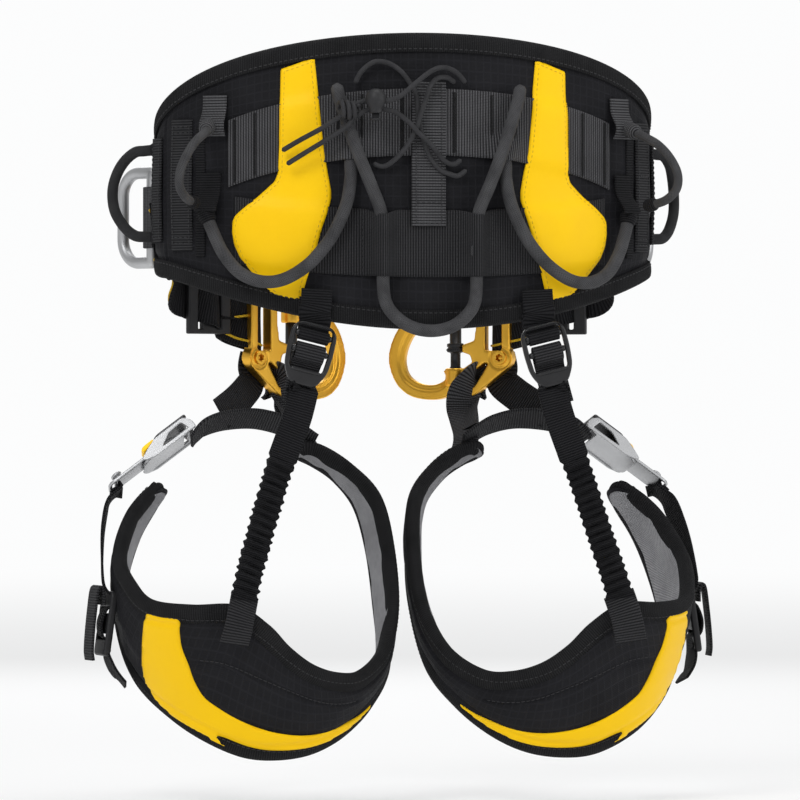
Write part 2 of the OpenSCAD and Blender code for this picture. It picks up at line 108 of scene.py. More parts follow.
floor_z = cad_box[0][2] - 0.032
floor_mesh = bpy.data.meshes.new("floor")
floor_mesh.from_pydata([(x, y, floor_z) for x, y in ((-30, -30), (30, -30), (30, 30), (-30, 30))],
                       [], [(0, 1, 2, 3)])
floor = bpy.data.objects.new("floor", floor_mesh)
scene.collection.objects.link(floor)
floor_paint = bpy.data.materials.new("pale_floor")
floor_paint.use_nodes = True
tree = floor_paint.node_tree
where = tree.nodes.new("ShaderNodeTexCoord")
reach = tree.nodes.new("ShaderNodeVectorMath")
reach.operation = "LENGTH"
fade = tree.nodes.new("ShaderNodeMapRange")
fade.inputs["From Min"].default_value = 0.2
fade.inputs["From Max"].default_value = 7.0
fade.inputs["To Min"].default_value = 0.45
fade.interpolation_type = "SMOOTHSTEP"
glow = tree.nodes.new("ShaderNodeEmission")
glow.inputs["Color"].default_value = backdrop_white
mix = tree.nodes.new("ShaderNodeMixShader")
tree.nodes["Principled BSDF"].inputs["Base Color"].default_value = (0.95, 0.953, 0.956, 1)
tree.nodes["Principled BSDF"].inputs["Roughness"].default_value = 0.9
tree.links.new(where.outputs["Object"], reach.inputs[0])
tree.links.new(reach.outputs["Value"], fade.inputs["Value"])
tree.links.new(fade.outputs["Result"], mix.inputs["Fac"])
tree.links.new(tree.nodes["Principled BSDF"].outputs[0], mix.inputs[1])
tree.links.new(glow.outputs[0], mix.inputs[2])
tree.links.new(mix.outputs[0], tree.nodes["Material Output"].inputs["Surface"])
floor_mesh.materials.append(floor_paint)

# ---- Cord loops
# Accessory cords with a braided sheath over a core, bent to shape and sewn into the belt.
# The big rear loop hangs from two slots and passes behind the lower webbing.
belt_half_w = 170.0
belt_back_d = 76.0


def belt_points(angle, off):
    """Points in mm round the belt, off mm outside its shell, with angle in degrees from the back."""
    a = np.radians(np.asarray(angle, float))
    nx, ny = np.sin(a) / belt_half_w, -np.cos(a) / belt_back_d
    size = np.hypot(nx, ny)
    return belt_half_w * np.sin(a) + off * nx / size, -belt_back_d * np.cos(a) + off * ny / size


def on_belt(rows):
    """Rows of angle, height and distance outside the shell, as points in mm."""
    rows = np.asarray(rows, float)
    x, y = belt_points(rows[..., 0], rows[..., 2])
    return np.stack([x, y, rows[..., 1]], -1)


def spline(points, steps, closed=False):
    """A smooth curve through the points, with so many steps between each two."""
    p = np.asarray(points, float)
    n = len(p)
    spans = n if closed else n - 1
    t = np.arange(steps)[:, None] / steps
    out = []
    for i in range(spans):
        if closed:
            a, b, c, d = p[i - 1], p[i], p[(i + 1) % n], p[(i + 2) % n]
        else:
            a, b, c, d = p[max(i - 1, 0)], p[i], p[i + 1], p[min(i + 2, n - 1)]
        out.append(0.5 * (2 * b + (c - a) * t + (2 * a - 5 * b + 4 * c - d) * t ** 2
                          + (3 * b - a - 3 * c + d) * t ** 3))
    if not closed:
        out.append(p[-1:])
    return np.concatenate(out)


def mirrored(points, side):
    """Points for the right side, or their mirror image for the left."""
    return np.asarray(points, float) * (1 if side == "right" else -1, 1, 1)


def steps_along(points):
    """Unit directions along a row of points."""
    d = np.gradient(np.asarray(points, float), axis=0)
    return d / np.maximum(np.linalg.norm(d, axis=1, keepdims=True), 1e-9)


def length_along(points):
    """Distance along a row of points, from 0."""
    return np.concatenate([[0], np.cumsum(np.linalg.norm(np.diff(points, axis=0), axis=1))])


def evenly(points, pitch):
    """The same line as points at an even pitch in mm."""
    s = length_along(points)
    count = max(int(round(s[-1] / pitch)), 1)
    at = np.linspace(0, s[-1], count + 1)
    return np.stack([np.interp(at, s, points[:, i]) for i in range(points.shape[1])], -1)


def cross_ways(points, start, end=None):
    """Two unit directions square to a line: one near the given one, and the other square to both."""
    along = steps_along(points)
    start = np.asarray(start, float)
    end = start if end is None else np.asarray(end, float)
    f = np.linspace(0, 1, len(points))[:, None]
    want = start * (1 - f) + end * f
    across = want - (want * along).sum(1, keepdims=True) * along
    across /= np.linalg.norm(across, axis=1, keepdims=True)
    return across, np.cross(along, across)


def carried_ways(points, start):
    """Two unit directions square to a line, carried along it without twist."""
    along = steps_along(points)
    way = np.asarray(start, float)
    out = []
    for t in along:
        way = way - (way @ t) * t
        way = way / np.linalg.norm(way)
        out.append(way)
    out = np.array(out)
    return out, np.cross(along, out)


def skin(name, rings, stuff, body, path_closed=False):
    """A mesh through rings of points in mm, with texture coordinates in metres, riding on a body."""
    rings = np.asarray(rings, float) / 1000
    n, k = rings.shape[:2]
    nxt = np.roll(rings, -1, 1)
    wide = np.linalg.norm(nxt - rings, axis=2).mean(0)
    u = np.concatenate([[0], np.cumsum(wide)])
    long = np.linalg.norm(np.roll(rings, -1, 0) - rings, axis=2).mean(1)
    v = np.concatenate([[0], np.cumsum(long)])
    faces, uv = [], []
    for i in range(n if path_closed else n - 1):
        for j in range(k):
            a, b, c, d = i * k + j, i * k + (j + 1) % k, (i + 1) % n * k + (j + 1) % k, (i + 1) % n * k + j
            faces.append((a, b, c, d))
            uv += [(u[j], v[i]), (u[j + 1], v[i]), (u[j + 1], v[i + 1]), (u[j], v[i + 1])]
    if not path_closed:
        for i, order in ((0, range(k - 1, -1, -1)), (n - 1, range(k))):
            faces.append(tuple(i * k + j for j in order))
            uv += [(u[j], v[i]) for j in order]
    mesh = bpy.data.meshes.new(name)
    mesh.from_pydata(rings.reshape(-1, 3).tolist(), [], faces)
    layer = mesh.uv_layers.new(name="cloth")
    layer.data.foreach_set("uv", np.array(uv, np.float32).ravel())
    return made(name, mesh, stuff, body)


widest_smooth_face = 8


def made(name, mesh, stuff, body):
    """An object from a mesh, with outward faces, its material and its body."""
    shape = bmesh.new()
    shape.from_mesh(mesh)
    bmesh.ops.recalc_face_normals(shape, faces=shape.faces)
    for face in shape.faces:
        face.smooth = len(face.verts) <= widest_smooth_face
    shape.to_mesh(mesh)
    shape.free()
    piece = bpy.data.objects.new(name, mesh)
    scene.collection.objects.link(piece)
    mesh.materials.append(stuff)
    if body is not None:
        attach(piece, body)
    return piece


def tube(name, path, radius, sides, stuff, body, start=(0, 0, 1)):
    """A round cord along a path, its ends rounded off. The radius may change along the path."""
    a, b = carried_ways(path, start)
    radius = np.broadcast_to(np.asarray(radius, float), (len(path),)).copy()
    s = length_along(path)
    for d in (s, s[-1] - s):
        near = np.clip(d / radius, 0, 1)
        radius = radius * np.sqrt(np.clip(1 - (1 - near) ** 2, 0.02, 1))
    turn = np.arange(sides) * 2 * np.pi / sides
    rings = path[:, None] + radius[:, None, None] * (
        np.cos(turn)[None, :, None] * a[:, None] + np.sin(turn)[None, :, None] * b[:, None])
    return skin(name, rings, stuff, body)


class Nodes:
    """Shorthand for wiring one material."""

    def __init__(self, name, rough, metal=0.0, sheen=0.0, specular=0.5, coat=0.0):
        self.material = bpy.data.materials.new(name)
        self.material.use_nodes = True
        self.tree = self.material.node_tree
        self.shader = self.tree.nodes["Principled BSDF"]
        self.shader.inputs["Roughness"].default_value = rough
        self.shader.inputs["Metallic"].default_value = metal
        self.shader.inputs["Sheen Weight"].default_value = sheen
        self.shader.inputs["Sheen Roughness"].default_value = 0.4
        self.shader.inputs["Specular IOR Level"].default_value = specular
        self.shader.inputs["Coat Weight"].default_value = coat
        place = self.tree.nodes.new("ShaderNodeTexCoord")
        self.object_at = place.outputs["Object"]
        split = self.tree.nodes.new("ShaderNodeSeparateXYZ")
        self.tree.links.new(place.outputs["UV"], split.inputs[0])
        self.u, self.v = split.outputs["X"], split.outputs["Y"]

    def put(self, value, socket):
        if hasattr(value, "links"):
            self.tree.links.new(value, socket)
        else:
            socket.default_value = value

    def sum(self, how, a, b=0.0, c=0.0):
        node = self.tree.nodes.new("ShaderNodeMath")
        node.operation = how
        for value, socket in zip((a, b, c), node.inputs):
            self.put(value, socket)
        return node.outputs[0]

    def times(self, a, b):
        return self.sum("MULTIPLY", a, b)

    def plus(self, a, b):
        return self.sum("ADD", a, b)

    def wave(self, along, pitch, sharp=1.0):
        """Ridges at a pitch in metres, from 0 to 1."""
        turn = self.times(along, math.pi / pitch)
        ridge = self.sum("ABSOLUTE", self.sum("SINE", turn))
        return ridge if sharp == 1.0 else self.sum("POWER", ridge, sharp)

    def speckle(self, scale, detail=2.0):
        node = self.tree.nodes.new("ShaderNodeTexNoise")
        node.inputs["Scale"].default_value = scale
        node.inputs["Detail"].default_value = detail
        self.tree.links.new(self.object_at, node.inputs["Vector"])
        return node.outputs["Fac"]

    def between(self, low, high, amount):
        """A colour between two by an amount from 0 to 1."""
        node = self.tree.nodes.new("ShaderNodeMix")
        node.data_type = "RGBA"
        self.put(amount, node.inputs["Factor"])
        node.inputs["A"].default_value = (*low, 1)
        node.inputs["B"].default_value = (*high, 1)
        return node.outputs["Result"]

    def finish(self, colour, height=None, depth=0.0005, rough=None):
        """Sets the colour, and the relief in metres, and gives the material."""
        self.put(colour if hasattr(colour, "links") else (*colour, 1), self.shader.inputs["Base Color"])
        if rough is not None:
            self.put(rough, self.shader.inputs["Roughness"])
        if height is not None:
            bump = self.tree.nodes.new("ShaderNodeBump")
            bump.inputs["Distance"].default_value = depth
            self.put(height, bump.inputs["Height"])
            self.tree.links.new(bump.outputs[0], self.shader.inputs["Normal"])
        return self.material


def braided_sheath(name, dark, light, pitch):
    """Braided cord: two sets of strands that cross, with the odd lighter carrier."""
    m = Nodes(name, 0.78, sheen=0.02, specular=0.12)
    one = m.wave(m.plus(m.u, m.times(m.v, 0.8)), pitch)
    two = m.wave(m.sum("SUBTRACT", m.u, m.times(m.v, 0.8)), pitch)
    strands = m.sum("MAXIMUM", one, two)
    wear = m.speckle(90)
    # The strand crests are painted lighter than the grooves between them: painted highlight and shade,
    # varied by the random wear noise.
    shade = m.times(m.sum("POWER", strands, 1.6), m.plus(wear, 0.35))
    return m.finish(m.between(dark, light, shade), strands, 0.0004)


grey_sheath = braided_sheath("grey_braided_sheath", (0.006, 0.006, 0.007), (0.085, 0.085, 0.089), 0.0013)
black_sheath = braided_sheath("black_braided_sheath", (0.004, 0.004, 0.005), (0.04, 0.04, 0.042), 0.0012)

gear_d, side_d, hip_d = 8.6, 6.0, 7.4
gear_route = [
    (17.9, 17, 4.8), (17.9, 10, 6.2), (17.9, 2, 6.6), (18.8, -14, 8.5), (21, -30, 10), (24, -44, 11),
    (28.3, -57, 13), (34, -66, 14), (39.7, -67, 14), (45.3, -61, 13), (50, -49, 11),
    (53.3, -36, 9), (56, -24, 7.2), (57, -17, 7.2)]
half_centre = [
    (21, 65.5, 9), (20.6, 56, 9.5), (17, 24, 10.5), (13.5, -2, 11), (11, -22, 8.5), (10.3, -45, 8.5),
    (10.6, -68, 8.5), (9.6, -84, 10), (5.4, -96, 11)]
centre_route = half_centre + [(0, -100, 11.5)] + [(-a, z, off) for a, z, off in half_centre[::-1]]
side_loop_route = [
    (148, -61, 34), (150, -68, 32), (158, -78, 26), (165, -84, 17), (170, -86, 6),
    (170, -83, -4), (165, -76, -11), (159, -66, -14), (154, -58, -15)]
hip_loop_route = [
    (167.5, 3, 23), (178, 6, 22), (184, 9, 21), (190, 16, 15), (194, 24, 6), (196, 28, -5),
    (195, 25, -18), (190, 17, -29), (184, 10, -35), (178, 6, -36), (167.5, 3, -36)]


def cord_loop(name, path, width, stuff):
    """A cord sewn in at both ends."""
    path = evenly(path, width / 5)
    piece = tube(name, path, width / 2, 20, stuff, "belt", (0, -1, 0.2))
    return piece


for side in ("left", "right"):
    sign = 1 if side == "right" else -1
    gear_path = on_belt(spline([(sign * a, z, off) for a, z, off in gear_route], 10))
    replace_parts(cord_loop("gear_cord_" + side, gear_path, gear_d, grey_sheath), "gear_loop_" + side)
    side_path = spline(mirrored(side_loop_route, side), 10)
    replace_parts(cord_loop("side_cord_" + side, side_path, side_d, grey_sheath), "side_loop_" + side)
    hip_path = spline(mirrored(hip_loop_route, side), 10)
    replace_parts(cord_loop("hip_cord_" + side, hip_path, hip_d, black_sheath), "hip_loop_" + side)
centre_path = on_belt(spline(centre_route, 10))
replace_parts(cord_loop("centre_cord", centre_path, gear_d, grey_sheath), "centre_loop")

# ---- Foam pad of the waist belt
# Slabs of foam behind a grey spacer mesh that lies against the wearer. It is quilted in long
# channels, and its edge is bound together with the outer shell.
belt_end = 115.0
shell_thick = 3.0
foam_thick = 9.0
ring_step = 0.75


def belt_top(a):
    return 36 + 62 * np.cos(np.radians(0.9 * np.asarray(a, float)))


def belt_bottom(a):
    a = np.asarray(a, float)
    return (-62 - 35 * np.clip(np.cos(np.radians(a)), 0, None) ** 2
            + 14 * np.clip(np.abs(a) - 90, 0, None) / (belt_end - 90))


def spacer_mesh(name, dark, light, pitch):
    """Knitted spacer cloth: small round holes in staggered rows."""
    m = Nodes(name, 0.9, sheen=0.02, specular=0.12)
    row = m.times(m.wave(m.u, pitch), m.wave(m.v, pitch * 1.2))
    shifted = m.times(m.wave(m.plus(m.u, pitch / 2), pitch),
                    m.wave(m.plus(m.v, pitch * 0.6), pitch * 1.2))
    holes = m.sum("POWER", m.sum("MAXIMUM", row, shifted), 3.0)
    tone = m.plus(m.times(m.speckle(40), 0.7), m.times(m.speckle(260), 0.3))
    # The holes are painted darker than the knit around them: painted shade in the holes, over a random tone.
    shade = m.sum("SUBTRACT", tone, m.times(holes, 0.55))
    return m.finish(m.between(dark, light, shade), m.sum("SUBTRACT", 1.0, holes), 0.0006)


grey_lining = spacer_mesh("grey_spacer_mesh", (0.26, 0.26, 0.265), (0.82, 0.82, 0.83), 0.0024)


def quilted_pad():
    """Closed rings round the belt's foam, swelling between its stitched channels."""
    angles = np.arange(-belt_end, belt_end + 0.1, ring_step)
    inner = -shell_thick - 0.4 - foam_thick
    rings = []
    for a in angles:
        top, bottom = belt_top(a) - 1.0, belt_bottom(a) + 1.0
        f = np.linspace(0, 1, 56)
        z = bottom + 5 + (top - bottom - 10) * f
        channel = np.minimum.reduce([np.abs(f - c) for c in (0.0, 0.27, 0.5, 0.73, 1.0)]) * (top - bottom)
        upright = np.abs((a + 200) % 24 - 12) * 1.9
        swell = np.clip(channel / 9, 0, 1) ** 0.5 * np.clip(upright / 7 + 0.35, 0, 1) ** 0.5
        ends = np.clip((belt_end - abs(a)) * 1.2 / 6, 0, 1) ** 0.5
        off = inner + 2.4 - 3.6 * swell * ends
        outer = [(top, -3.6), (top, -6.5), (top - 2, inner + 3.6)]
        lower = [(bottom + 2, inner + 3.6), (bottom, -6.5), (bottom, -3.6)]
        section = lower[::-1] + [(zz, oo) for zz, oo in zip(z, off)] + outer[::-1]
        rings.append([(a, zz, oo) for zz, oo in section])
    return on_belt(rings)


pad = skin("belt_foam_pad", quilted_pad(), grey_lining, "belt")
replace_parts(pad, "belt_pad")

# ---- Shell and edge binding of the waist belt
# Dark ripstop cloth over the load-spreading sheet. A knitted tape is folded over the top, the
# bottom and both ends and sewn through with one row of thread.


def ripstop(name, dark, light, grid, fine=0.0007):
    """Plain weave with a thicker thread every few millimetres, and soft creases."""
    m = Nodes(name, 0.66, sheen=0.01, specular=0.12)
    weave = m.plus(m.times(m.wave(m.u, fine), 0.65), m.times(m.wave(m.v, fine * 1.3), 0.35))
    thick = m.sum("MAXIMUM", m.wave(m.u, grid, 24.0), m.wave(m.v, grid, 24.0))
    relief = m.plus(m.times(weave, 0.5), m.times(thick, 0.5))
    # The weave and the thicker grid threads are painted lighter on their crests than in the hollows: painted
    # highlight and shade. The large soft noise, given for the soft creases, darkens and lightens the colour
    # in patches: painted shade.
    shade = m.plus(m.times(relief, 0.5), m.times(m.speckle(28, 5.0), 0.55))
    return m.finish(m.between(dark, light, shade), relief, 0.00045,
                    m.plus(0.45, m.times(m.speckle(60), 0.35)))


def knit_tape(name, dark, light, pitch):
    """Knitted binding: slanted loops in columns, like a fine herringbone."""
    m = Nodes(name, 0.85, sheen=0.01, specular=0.08)
    column = m.wave(m.v, pitch)
    slant = m.wave(m.plus(m.u, m.times(column, pitch * 1.4)), pitch * 0.7)
    loops = m.times(m.plus(column, 0.25), m.plus(slant, 0.2))
    # The loops are painted lighter on their crests than between them: painted highlight and shade, varied by
    # a random noise.
    shade = m.times(loops, m.plus(m.speckle(70), 0.3))
    return m.finish(m.between(dark, light, shade), loops, 0.0005)


black_ripstop = ripstop("black_ripstop", (0.0025, 0.0025, 0.003), (0.02, 0.02, 0.024), 0.0052)
charcoal_knit = knit_tape("charcoal_knit_binding", (0.004, 0.004, 0.0045), (0.034, 0.034, 0.036), 0.0015)


def soft_folds(points, size, depth):
    """Low smooth creases as a height in mm at each point, the same every run."""
    flat = points.reshape(-1, 3)
    folds = np.array([noise.noise(Vector(p) / size) for p in flat])
    return (folds * depth).reshape(points.shape[:-1])


def shell_rings():
    angles = np.arange(-belt_end, belt_end + 0.1, ring_step)
    rings = []
    for a in angles:
        top, bottom = belt_top(a), belt_bottom(a)
        z = np.concatenate([[bottom], np.linspace(bottom + 0.6, top - 0.6, 62), [top]])
        edge = np.minimum(z - bottom, top - z)
        groove = -1.1 * np.exp(-((edge - 12.0) / 1.6) ** 2)
        side_seams = sum(np.exp(-(((abs(a) - c) * 2.6) / 1.6) ** 2) for c in (78.0, 93.0))
        crown = 1.4 * np.clip((edge - 12) / 14, 0, 1) ** 0.6 * np.clip((abs(a) - 52) / 8, 0, 1)
        off = np.where(edge < 0.3, -1.2, 0.0) + groove + crown - 1.0 * side_seams * (edge > 12)
        inside = [(top - 2, -shell_thick), (bottom + 2, -shell_thick)]
        rings.append([(a, zz, oo) for zz, oo in zip(z, off)] + [(a, zz, oo) for zz, oo in inside])
    rings = np.array(rings)
    creases = soft_folds(on_belt(rings), 17.0, 0.9)
    outer = rings[..., 2] > -shell_thick + 0.1
    quiet = np.where(np.abs(rings[..., 0]) < 52, 0.35, 1.0)
    rings[..., 2] += np.where(outer, creases * quiet, 0)
    return on_belt(rings)


shell = skin("belt_shell_cloth", shell_rings(), black_ripstop, "belt")
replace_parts(shell, "belt_shell")


def binding_section():
    """The folded tape seen end on, as depth below the edge and distance outside the shell."""
    rough = [(10.8, 1.1), (7.0, 2.0), (3.0, 2.0), (0.2, 1.1), (-1.6, -2.2), (-2.0, -6.2), (-1.2, -10.4),
             (1.4, -13.2), (5.0, -14.6), (9.0, -14.2), (9.0, -12.6), (10.8, -0.6)]
    return spline(rough, 3, closed=True)


def binding_rings(edge, sign, angles):
    return on_belt([[(a, edge(a) - sign * d, off) for d, off in binding_section()] for a in angles])


angles_round = np.arange(-belt_end + 1, belt_end - 0.9, ring_step)
for name, edge, sign in (("top", belt_top, 1), ("bottom", belt_bottom, -1)):
    skin("belt_binding_" + name, binding_rings(edge, sign, angles_round), charcoal_knit, "belt")
for side in ("left", "right"):
    sign = 1 if side == "right" else -1
    z = np.linspace(float(belt_bottom(belt_end)) - 1.2, float(belt_top(belt_end)) + 1.2, 60)
    end_rings = [[(sign * (belt_end + 0.6 - d * 0.36), zz, off * 1.05) for d, off in binding_section()]
                 for zz in z]
    skin("belt_binding_end_" + side, on_belt(end_rings), charcoal_knit, "belt")


def thread(name, colour):
    m = Nodes(name, 0.6, sheen=0.02, specular=0.2)
    twist = m.wave(m.plus(m.u, m.v), 0.0006)
    # The twist ridges are painted lighter and the grooves between them darker, down to half the colour:
    # painted highlight and shade.
    return m.finish(m.between(tuple(c * 0.5 for c in colour), colour, m.plus(0.4, m.times(twist, 0.6))),
                    twist, 0.0001)


black_thread = thread("black_thread", (0.012, 0.012, 0.013))
grey_thread = thread("grey_thread", (0.045, 0.045, 0.048))
yellow_thread = thread("yellow_thread", (0.72, 0.46, 0.02))


def sew(name, seams, stuff, body, stitch=2.6, gap=0.9, thick=0.36):
    """One mesh of separate thread stitches along seams, each a row of points and a row of outward ways."""
    verts, faces = [], []
    for points, out in seams:
        points, out = np.asarray(points, float), np.broadcast_to(np.asarray(out, float), np.shape(points))
        s = length_along(points)
        count = max(int(round(s[-1] / (stitch + gap))), 1)
        reach = min(stitch, s[-1])
        for i in range(count):
            at = (i + 0.5) * s[-1] / count + np.array([-0.5, -0.36, 0, 0.36, 0.5]) * reach
            p = np.stack([np.interp(at, s, points[:, k]) for k in range(3)], -1)
            n = np.stack([np.interp(at, s, out[:, k]) for k in range(3)], -1)
            n /= np.linalg.norm(n, axis=1, keepdims=True)
            t = p[-1] - p[0]
            t /= max(np.linalg.norm(t), 1e-9)
            w = np.cross(n, t)
            r = thick * np.array([0.4, 0.9, 1.0, 0.9, 0.4])[:, None]
            up = thick * np.array([-0.9, 0.15, 0.45, 0.15, -0.9])[:, None]
            base = len(verts)
            for q in range(5):
                for c, d in ((1, 0), (0.7, 0.7), (0, 1), (-0.7, 0.7), (-1, 0), (0, -0.8)):
                    verts.append(tuple(p[q] + w[q] * r[q] * c + n[q] * (r[q] * d + up[q])))
            for q in range(4):
                for c in range(6):
                    a, b = base + q * 6 + c, base + q * 6 + (c + 1) % 6
                    faces.append((a, b, b + 6, a + 6))
            faces.append(tuple(base + c for c in range(5, -1, -1)))
            faces.append(tuple(base + 24 + c for c in range(6)))
    mesh = bpy.data.meshes.new(name)
    mesh.from_pydata((np.array(verts) / 1000).tolist(), [], faces)
    layer = mesh.uv_layers.new(name="cloth")
    co = np.array(verts)[[v for f in faces for v in f]] / 1000
    layer.data.foreach_set("uv", np.ascontiguousarray(co[:, [0, 2]] + co[:, [1, 1]] * 0.5,
                                                      np.float32).ravel())
    return made(name, mesh, stuff, body)


def belt_normal(angle):
    x1, y1 = belt_points(angle, 1.0)
    x0, y0 = belt_points(angle, 0.0)
    return np.stack([x1 - x0, y1 - y0, np.zeros_like(x0)], -1)


def belt_seam(rows, steps=8):
    """A seam on the belt through rows of angle, height and distance out."""
    rows = spline(rows, steps)
    return on_belt(rows), belt_normal(rows[:, 0])


binding_seams = []
for edge, sign in ((belt_top, 1), (belt_bottom, -1)):
    rows = [(a, float(edge(a)) - sign * 9.0, 1.55) for a in np.arange(-112, 112.1, 4)]
    binding_seams.append(belt_seam(rows, 6))
sew("belt_binding_stitches", binding_seams, grey_thread, "belt")

# ---- Load webbing and centre strap
# Wide polyester webbing sewn to the shell in two bands that carry the load to the front. The
# cords pass through slots left unsewn, so the webbing stands up over them. A narrower strap
# joins the two bands at the middle of the back.
web_thick = 2.0
wide_web = 45.0


def webbing(name, dark, light, rib, across=True):
    """Woven webbing: ribs over its width or along it, with a fine thread the other way."""
    m = Nodes(name, 0.72, sheen=0.01, specular=0.12)
    main, other = (m.v, m.u) if across else (m.u, m.v)
    ribs = m.wave(main, rib)
    fine = m.wave(other, rib * 0.55)
    relief = m.times(m.plus(ribs, 0.1), m.plus(m.times(fine, 0.45), 0.6))
    # The rib crests are painted lighter than the hollows between them: painted highlights and shade, varied
    # by a random noise.
    shade = m.times(m.sum("POWER", relief, 1.5), m.plus(m.speckle(35, 4.0), 0.45))
    return m.finish(m.between(dark, light, shade), relief, 0.0007)


charcoal_webbing = webbing("charcoal_webbing", (0.006, 0.006, 0.007), (0.105, 0.105, 0.111), 0.0019)
dark_webbing = webbing("dark_webbing", (0.004, 0.004, 0.005), (0.045, 0.045, 0.048), 0.0018)
black_webbing = webbing("black_webbing", (0.002, 0.002, 0.003), (0.02, 0.02, 0.022), 0.0017)


def upper_mid(a):
    return 40 - 0.0086 * a * a


def lower_mid(a):
    return -41.5 + 0.004 * a * a


def bump_over(value, middle, half_width):
    """A smooth hump from 0 to 1 about a middle."""
    return np.exp(-((value - middle) / half_width) ** 2)


def upper_stand(a, z):
    """How far the upper webbing stands off the shell, over the cords and the drawn lacing."""
    over_gear = bump_over(np.abs(a), 17.9, 3.4) * np.clip((34 - z) / 18, 0, 1)
    folds = 0.5 * np.sin(a * 0.9) * bump_over(z, 40, 20)
    return 0.5 + 8.6 * over_gear + folds * (np.abs(a) < 22)


def lower_stand(a, z):
    return 0.5 + 12.0 * bump_over(np.abs(a), 10.6, 2.6) + 0.4 * np.sin(a * 0.55) + 0 * z


def belt_webbing(name, end, mid, stand, stuff, dip=None):
    rings = []
    for a in np.arange(-end, end + 0.01, 0.4):
        low, high = mid(a) - wide_web / 2, mid(a) + wide_web / 2
        if dip is not None:
            high = high - dip(a)
        z = np.linspace(low + 0.4, high - 0.4, 26)
        off = stand(a, z)
        outer = [(a, high, off[-1] + web_thick * 0.5)] + [(a, zz, oo + web_thick)
                                                          for zz, oo in zip(z[::-1], off[::-1])]
        inner = [(a, low, off[0] + web_thick * 0.5)] + [(a, zz, oo) for zz, oo in zip(z, off)]
        rings.append(outer + inner)
    return skin(name, on_belt(rings), stuff, "belt")


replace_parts(belt_webbing("upper_load_webbing", 50, upper_mid, upper_stand, charcoal_webbing),
            "upper_webbing")
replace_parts(belt_webbing("lower_load_webbing", 48, lower_mid, lower_stand, dark_webbing,
                         lambda a: 3.4 * bump_over(abs(a), 10.8, 2.4)), "lower_webbing")


def belt_strip(name, angle_low, angle_high, low, high, off, thick, stuff):
    """A narrow strap sewn upright on the belt. off gives its height over the shell at each z."""
    rings = []
    for z in np.arange(low, high + 0.1, 1.0):
        a = np.linspace(angle_low, angle_high, 9)
        lift = off(z)
        outer = [(aa, z, lift + thick) for aa in a]
        inner = [(aa, z, lift) for aa in a[::-1]]
        rings.append([(angle_low - 0.12, z, lift + thick / 2), *outer,
                      (angle_high + 0.12, z, lift + thick / 2), *inner])
    return skin(name, on_belt(rings), stuff, "belt")


centre_strap = belt_strip("centre_strap_webbing", -3.8, 3.8, -30, 67,
                          lambda z: 2.9 + 0.6 * bump_over(z, 42, 14), 1.7, charcoal_webbing)
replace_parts(centre_strap, "centre_strap")


def bar_tack(angle, low, high, off):
    """A dense upright zigzag seam on the belt, as short threads that cross it."""
    seams = []
    for i, z in enumerate(np.arange(low, high, 0.9)):
        reach = 0.42 if i % 2 else 0.5
        row = [(angle - reach, z, off), (angle + reach, z + 0.45, off)]
        seams.append((on_belt(row), belt_normal(np.array([r[0] for r in row]))))
    return seams


tacks = []
for a in (-6.0, 6.0, -15.2, 14.8, 20.6, -20.9):
    tacks += bar_tack(a, upper_mid(a) - 20, upper_mid(a) + 20, 3.1)
for a in (-42.0, 40.0, -47.8, 47.8):
    tacks += bar_tack(a, upper_mid(a) - 21, upper_mid(a) + 21, 3.0)
sew("upper_webbing_bar_tacks", tacks, black_thread, "belt", stitch=1.9, gap=0.1, thick=0.42)
rows = []
for a, off in ((-6.6, 3.2), (6.6, 3.2), (-15.0, 3.2), (15.0, 3.2)):
    rows.append(belt_seam([(a, z, off) for z in np.linspace(-61, -22, 6)]))
for edge in (-2.9, 2.9):
    rows.append(belt_seam([(edge, z, 4.75 + 0.6 * bump_over(z, 42, 14)) for z in np.linspace(-28, 65, 14)]))
for z in (-28, -14, 10, 16, 58, 64):
    rows.append(belt_seam([(a, z, 4.75) for a in np.linspace(-3.0, 3.0, 4)]))
sew("centre_strap_stitches", rows, grey_thread, "belt")

# ---- Coated side panels
# Bright coated cloth, cut to shape with its edge turned in and sewn 2 mm from the fold. The cloth
# puckers a little between the stitches. Each one covers the ends of both webbing bands.


def filled_outline(outline, pitch):
    """Points and triangles that fill a flat outline, with each point's distance to it and place along it."""
    edge = evenly(np.concatenate([outline, outline[:1]]), pitch)[:-1]
    low, high = edge.min(0), edge.max(0)
    gx, gy = np.meshgrid(np.arange(low[0], high[0], pitch), np.arange(low[1], high[1], pitch))
    inner = np.stack([gx.ravel(), gy.ravel()], -1)
    a, b = edge, np.roll(edge, -1, 0)
    crossing = ((a[:, 1] > inner[:, None, 1]) != (b[:, 1] > inner[:, None, 1])) & (
        inner[:, None, 0] < (b[:, 0] - a[:, 0]) * (inner[:, None, 1] - a[:, 1])
        / np.where(b[:, 1] == a[:, 1], 1e-9, b[:, 1] - a[:, 1]) + a[:, 0])
    gap = np.linalg.norm(inner[:, None] - edge[None], axis=2)
    keep = (crossing.sum(1) % 2 == 1) & (gap.min(1) > pitch * 0.45)
    inner = inner[keep]
    points = np.concatenate([edge, inner])
    ring = [(i, (i + 1) % len(edge)) for i in range(len(edge))]
    found = delaunay_2d_cdt([Vector(p) for p in points], ring, [list(range(len(edge)))], 1, 1e-4)
    flat = np.array([list(v) for v in found[0]])
    triangles = [tuple(f) for f in found[2]]
    far = np.linalg.norm(flat[:, None] - edge[None], axis=2)
    return flat, triangles, far.min(1), far.argmin(1) * pitch


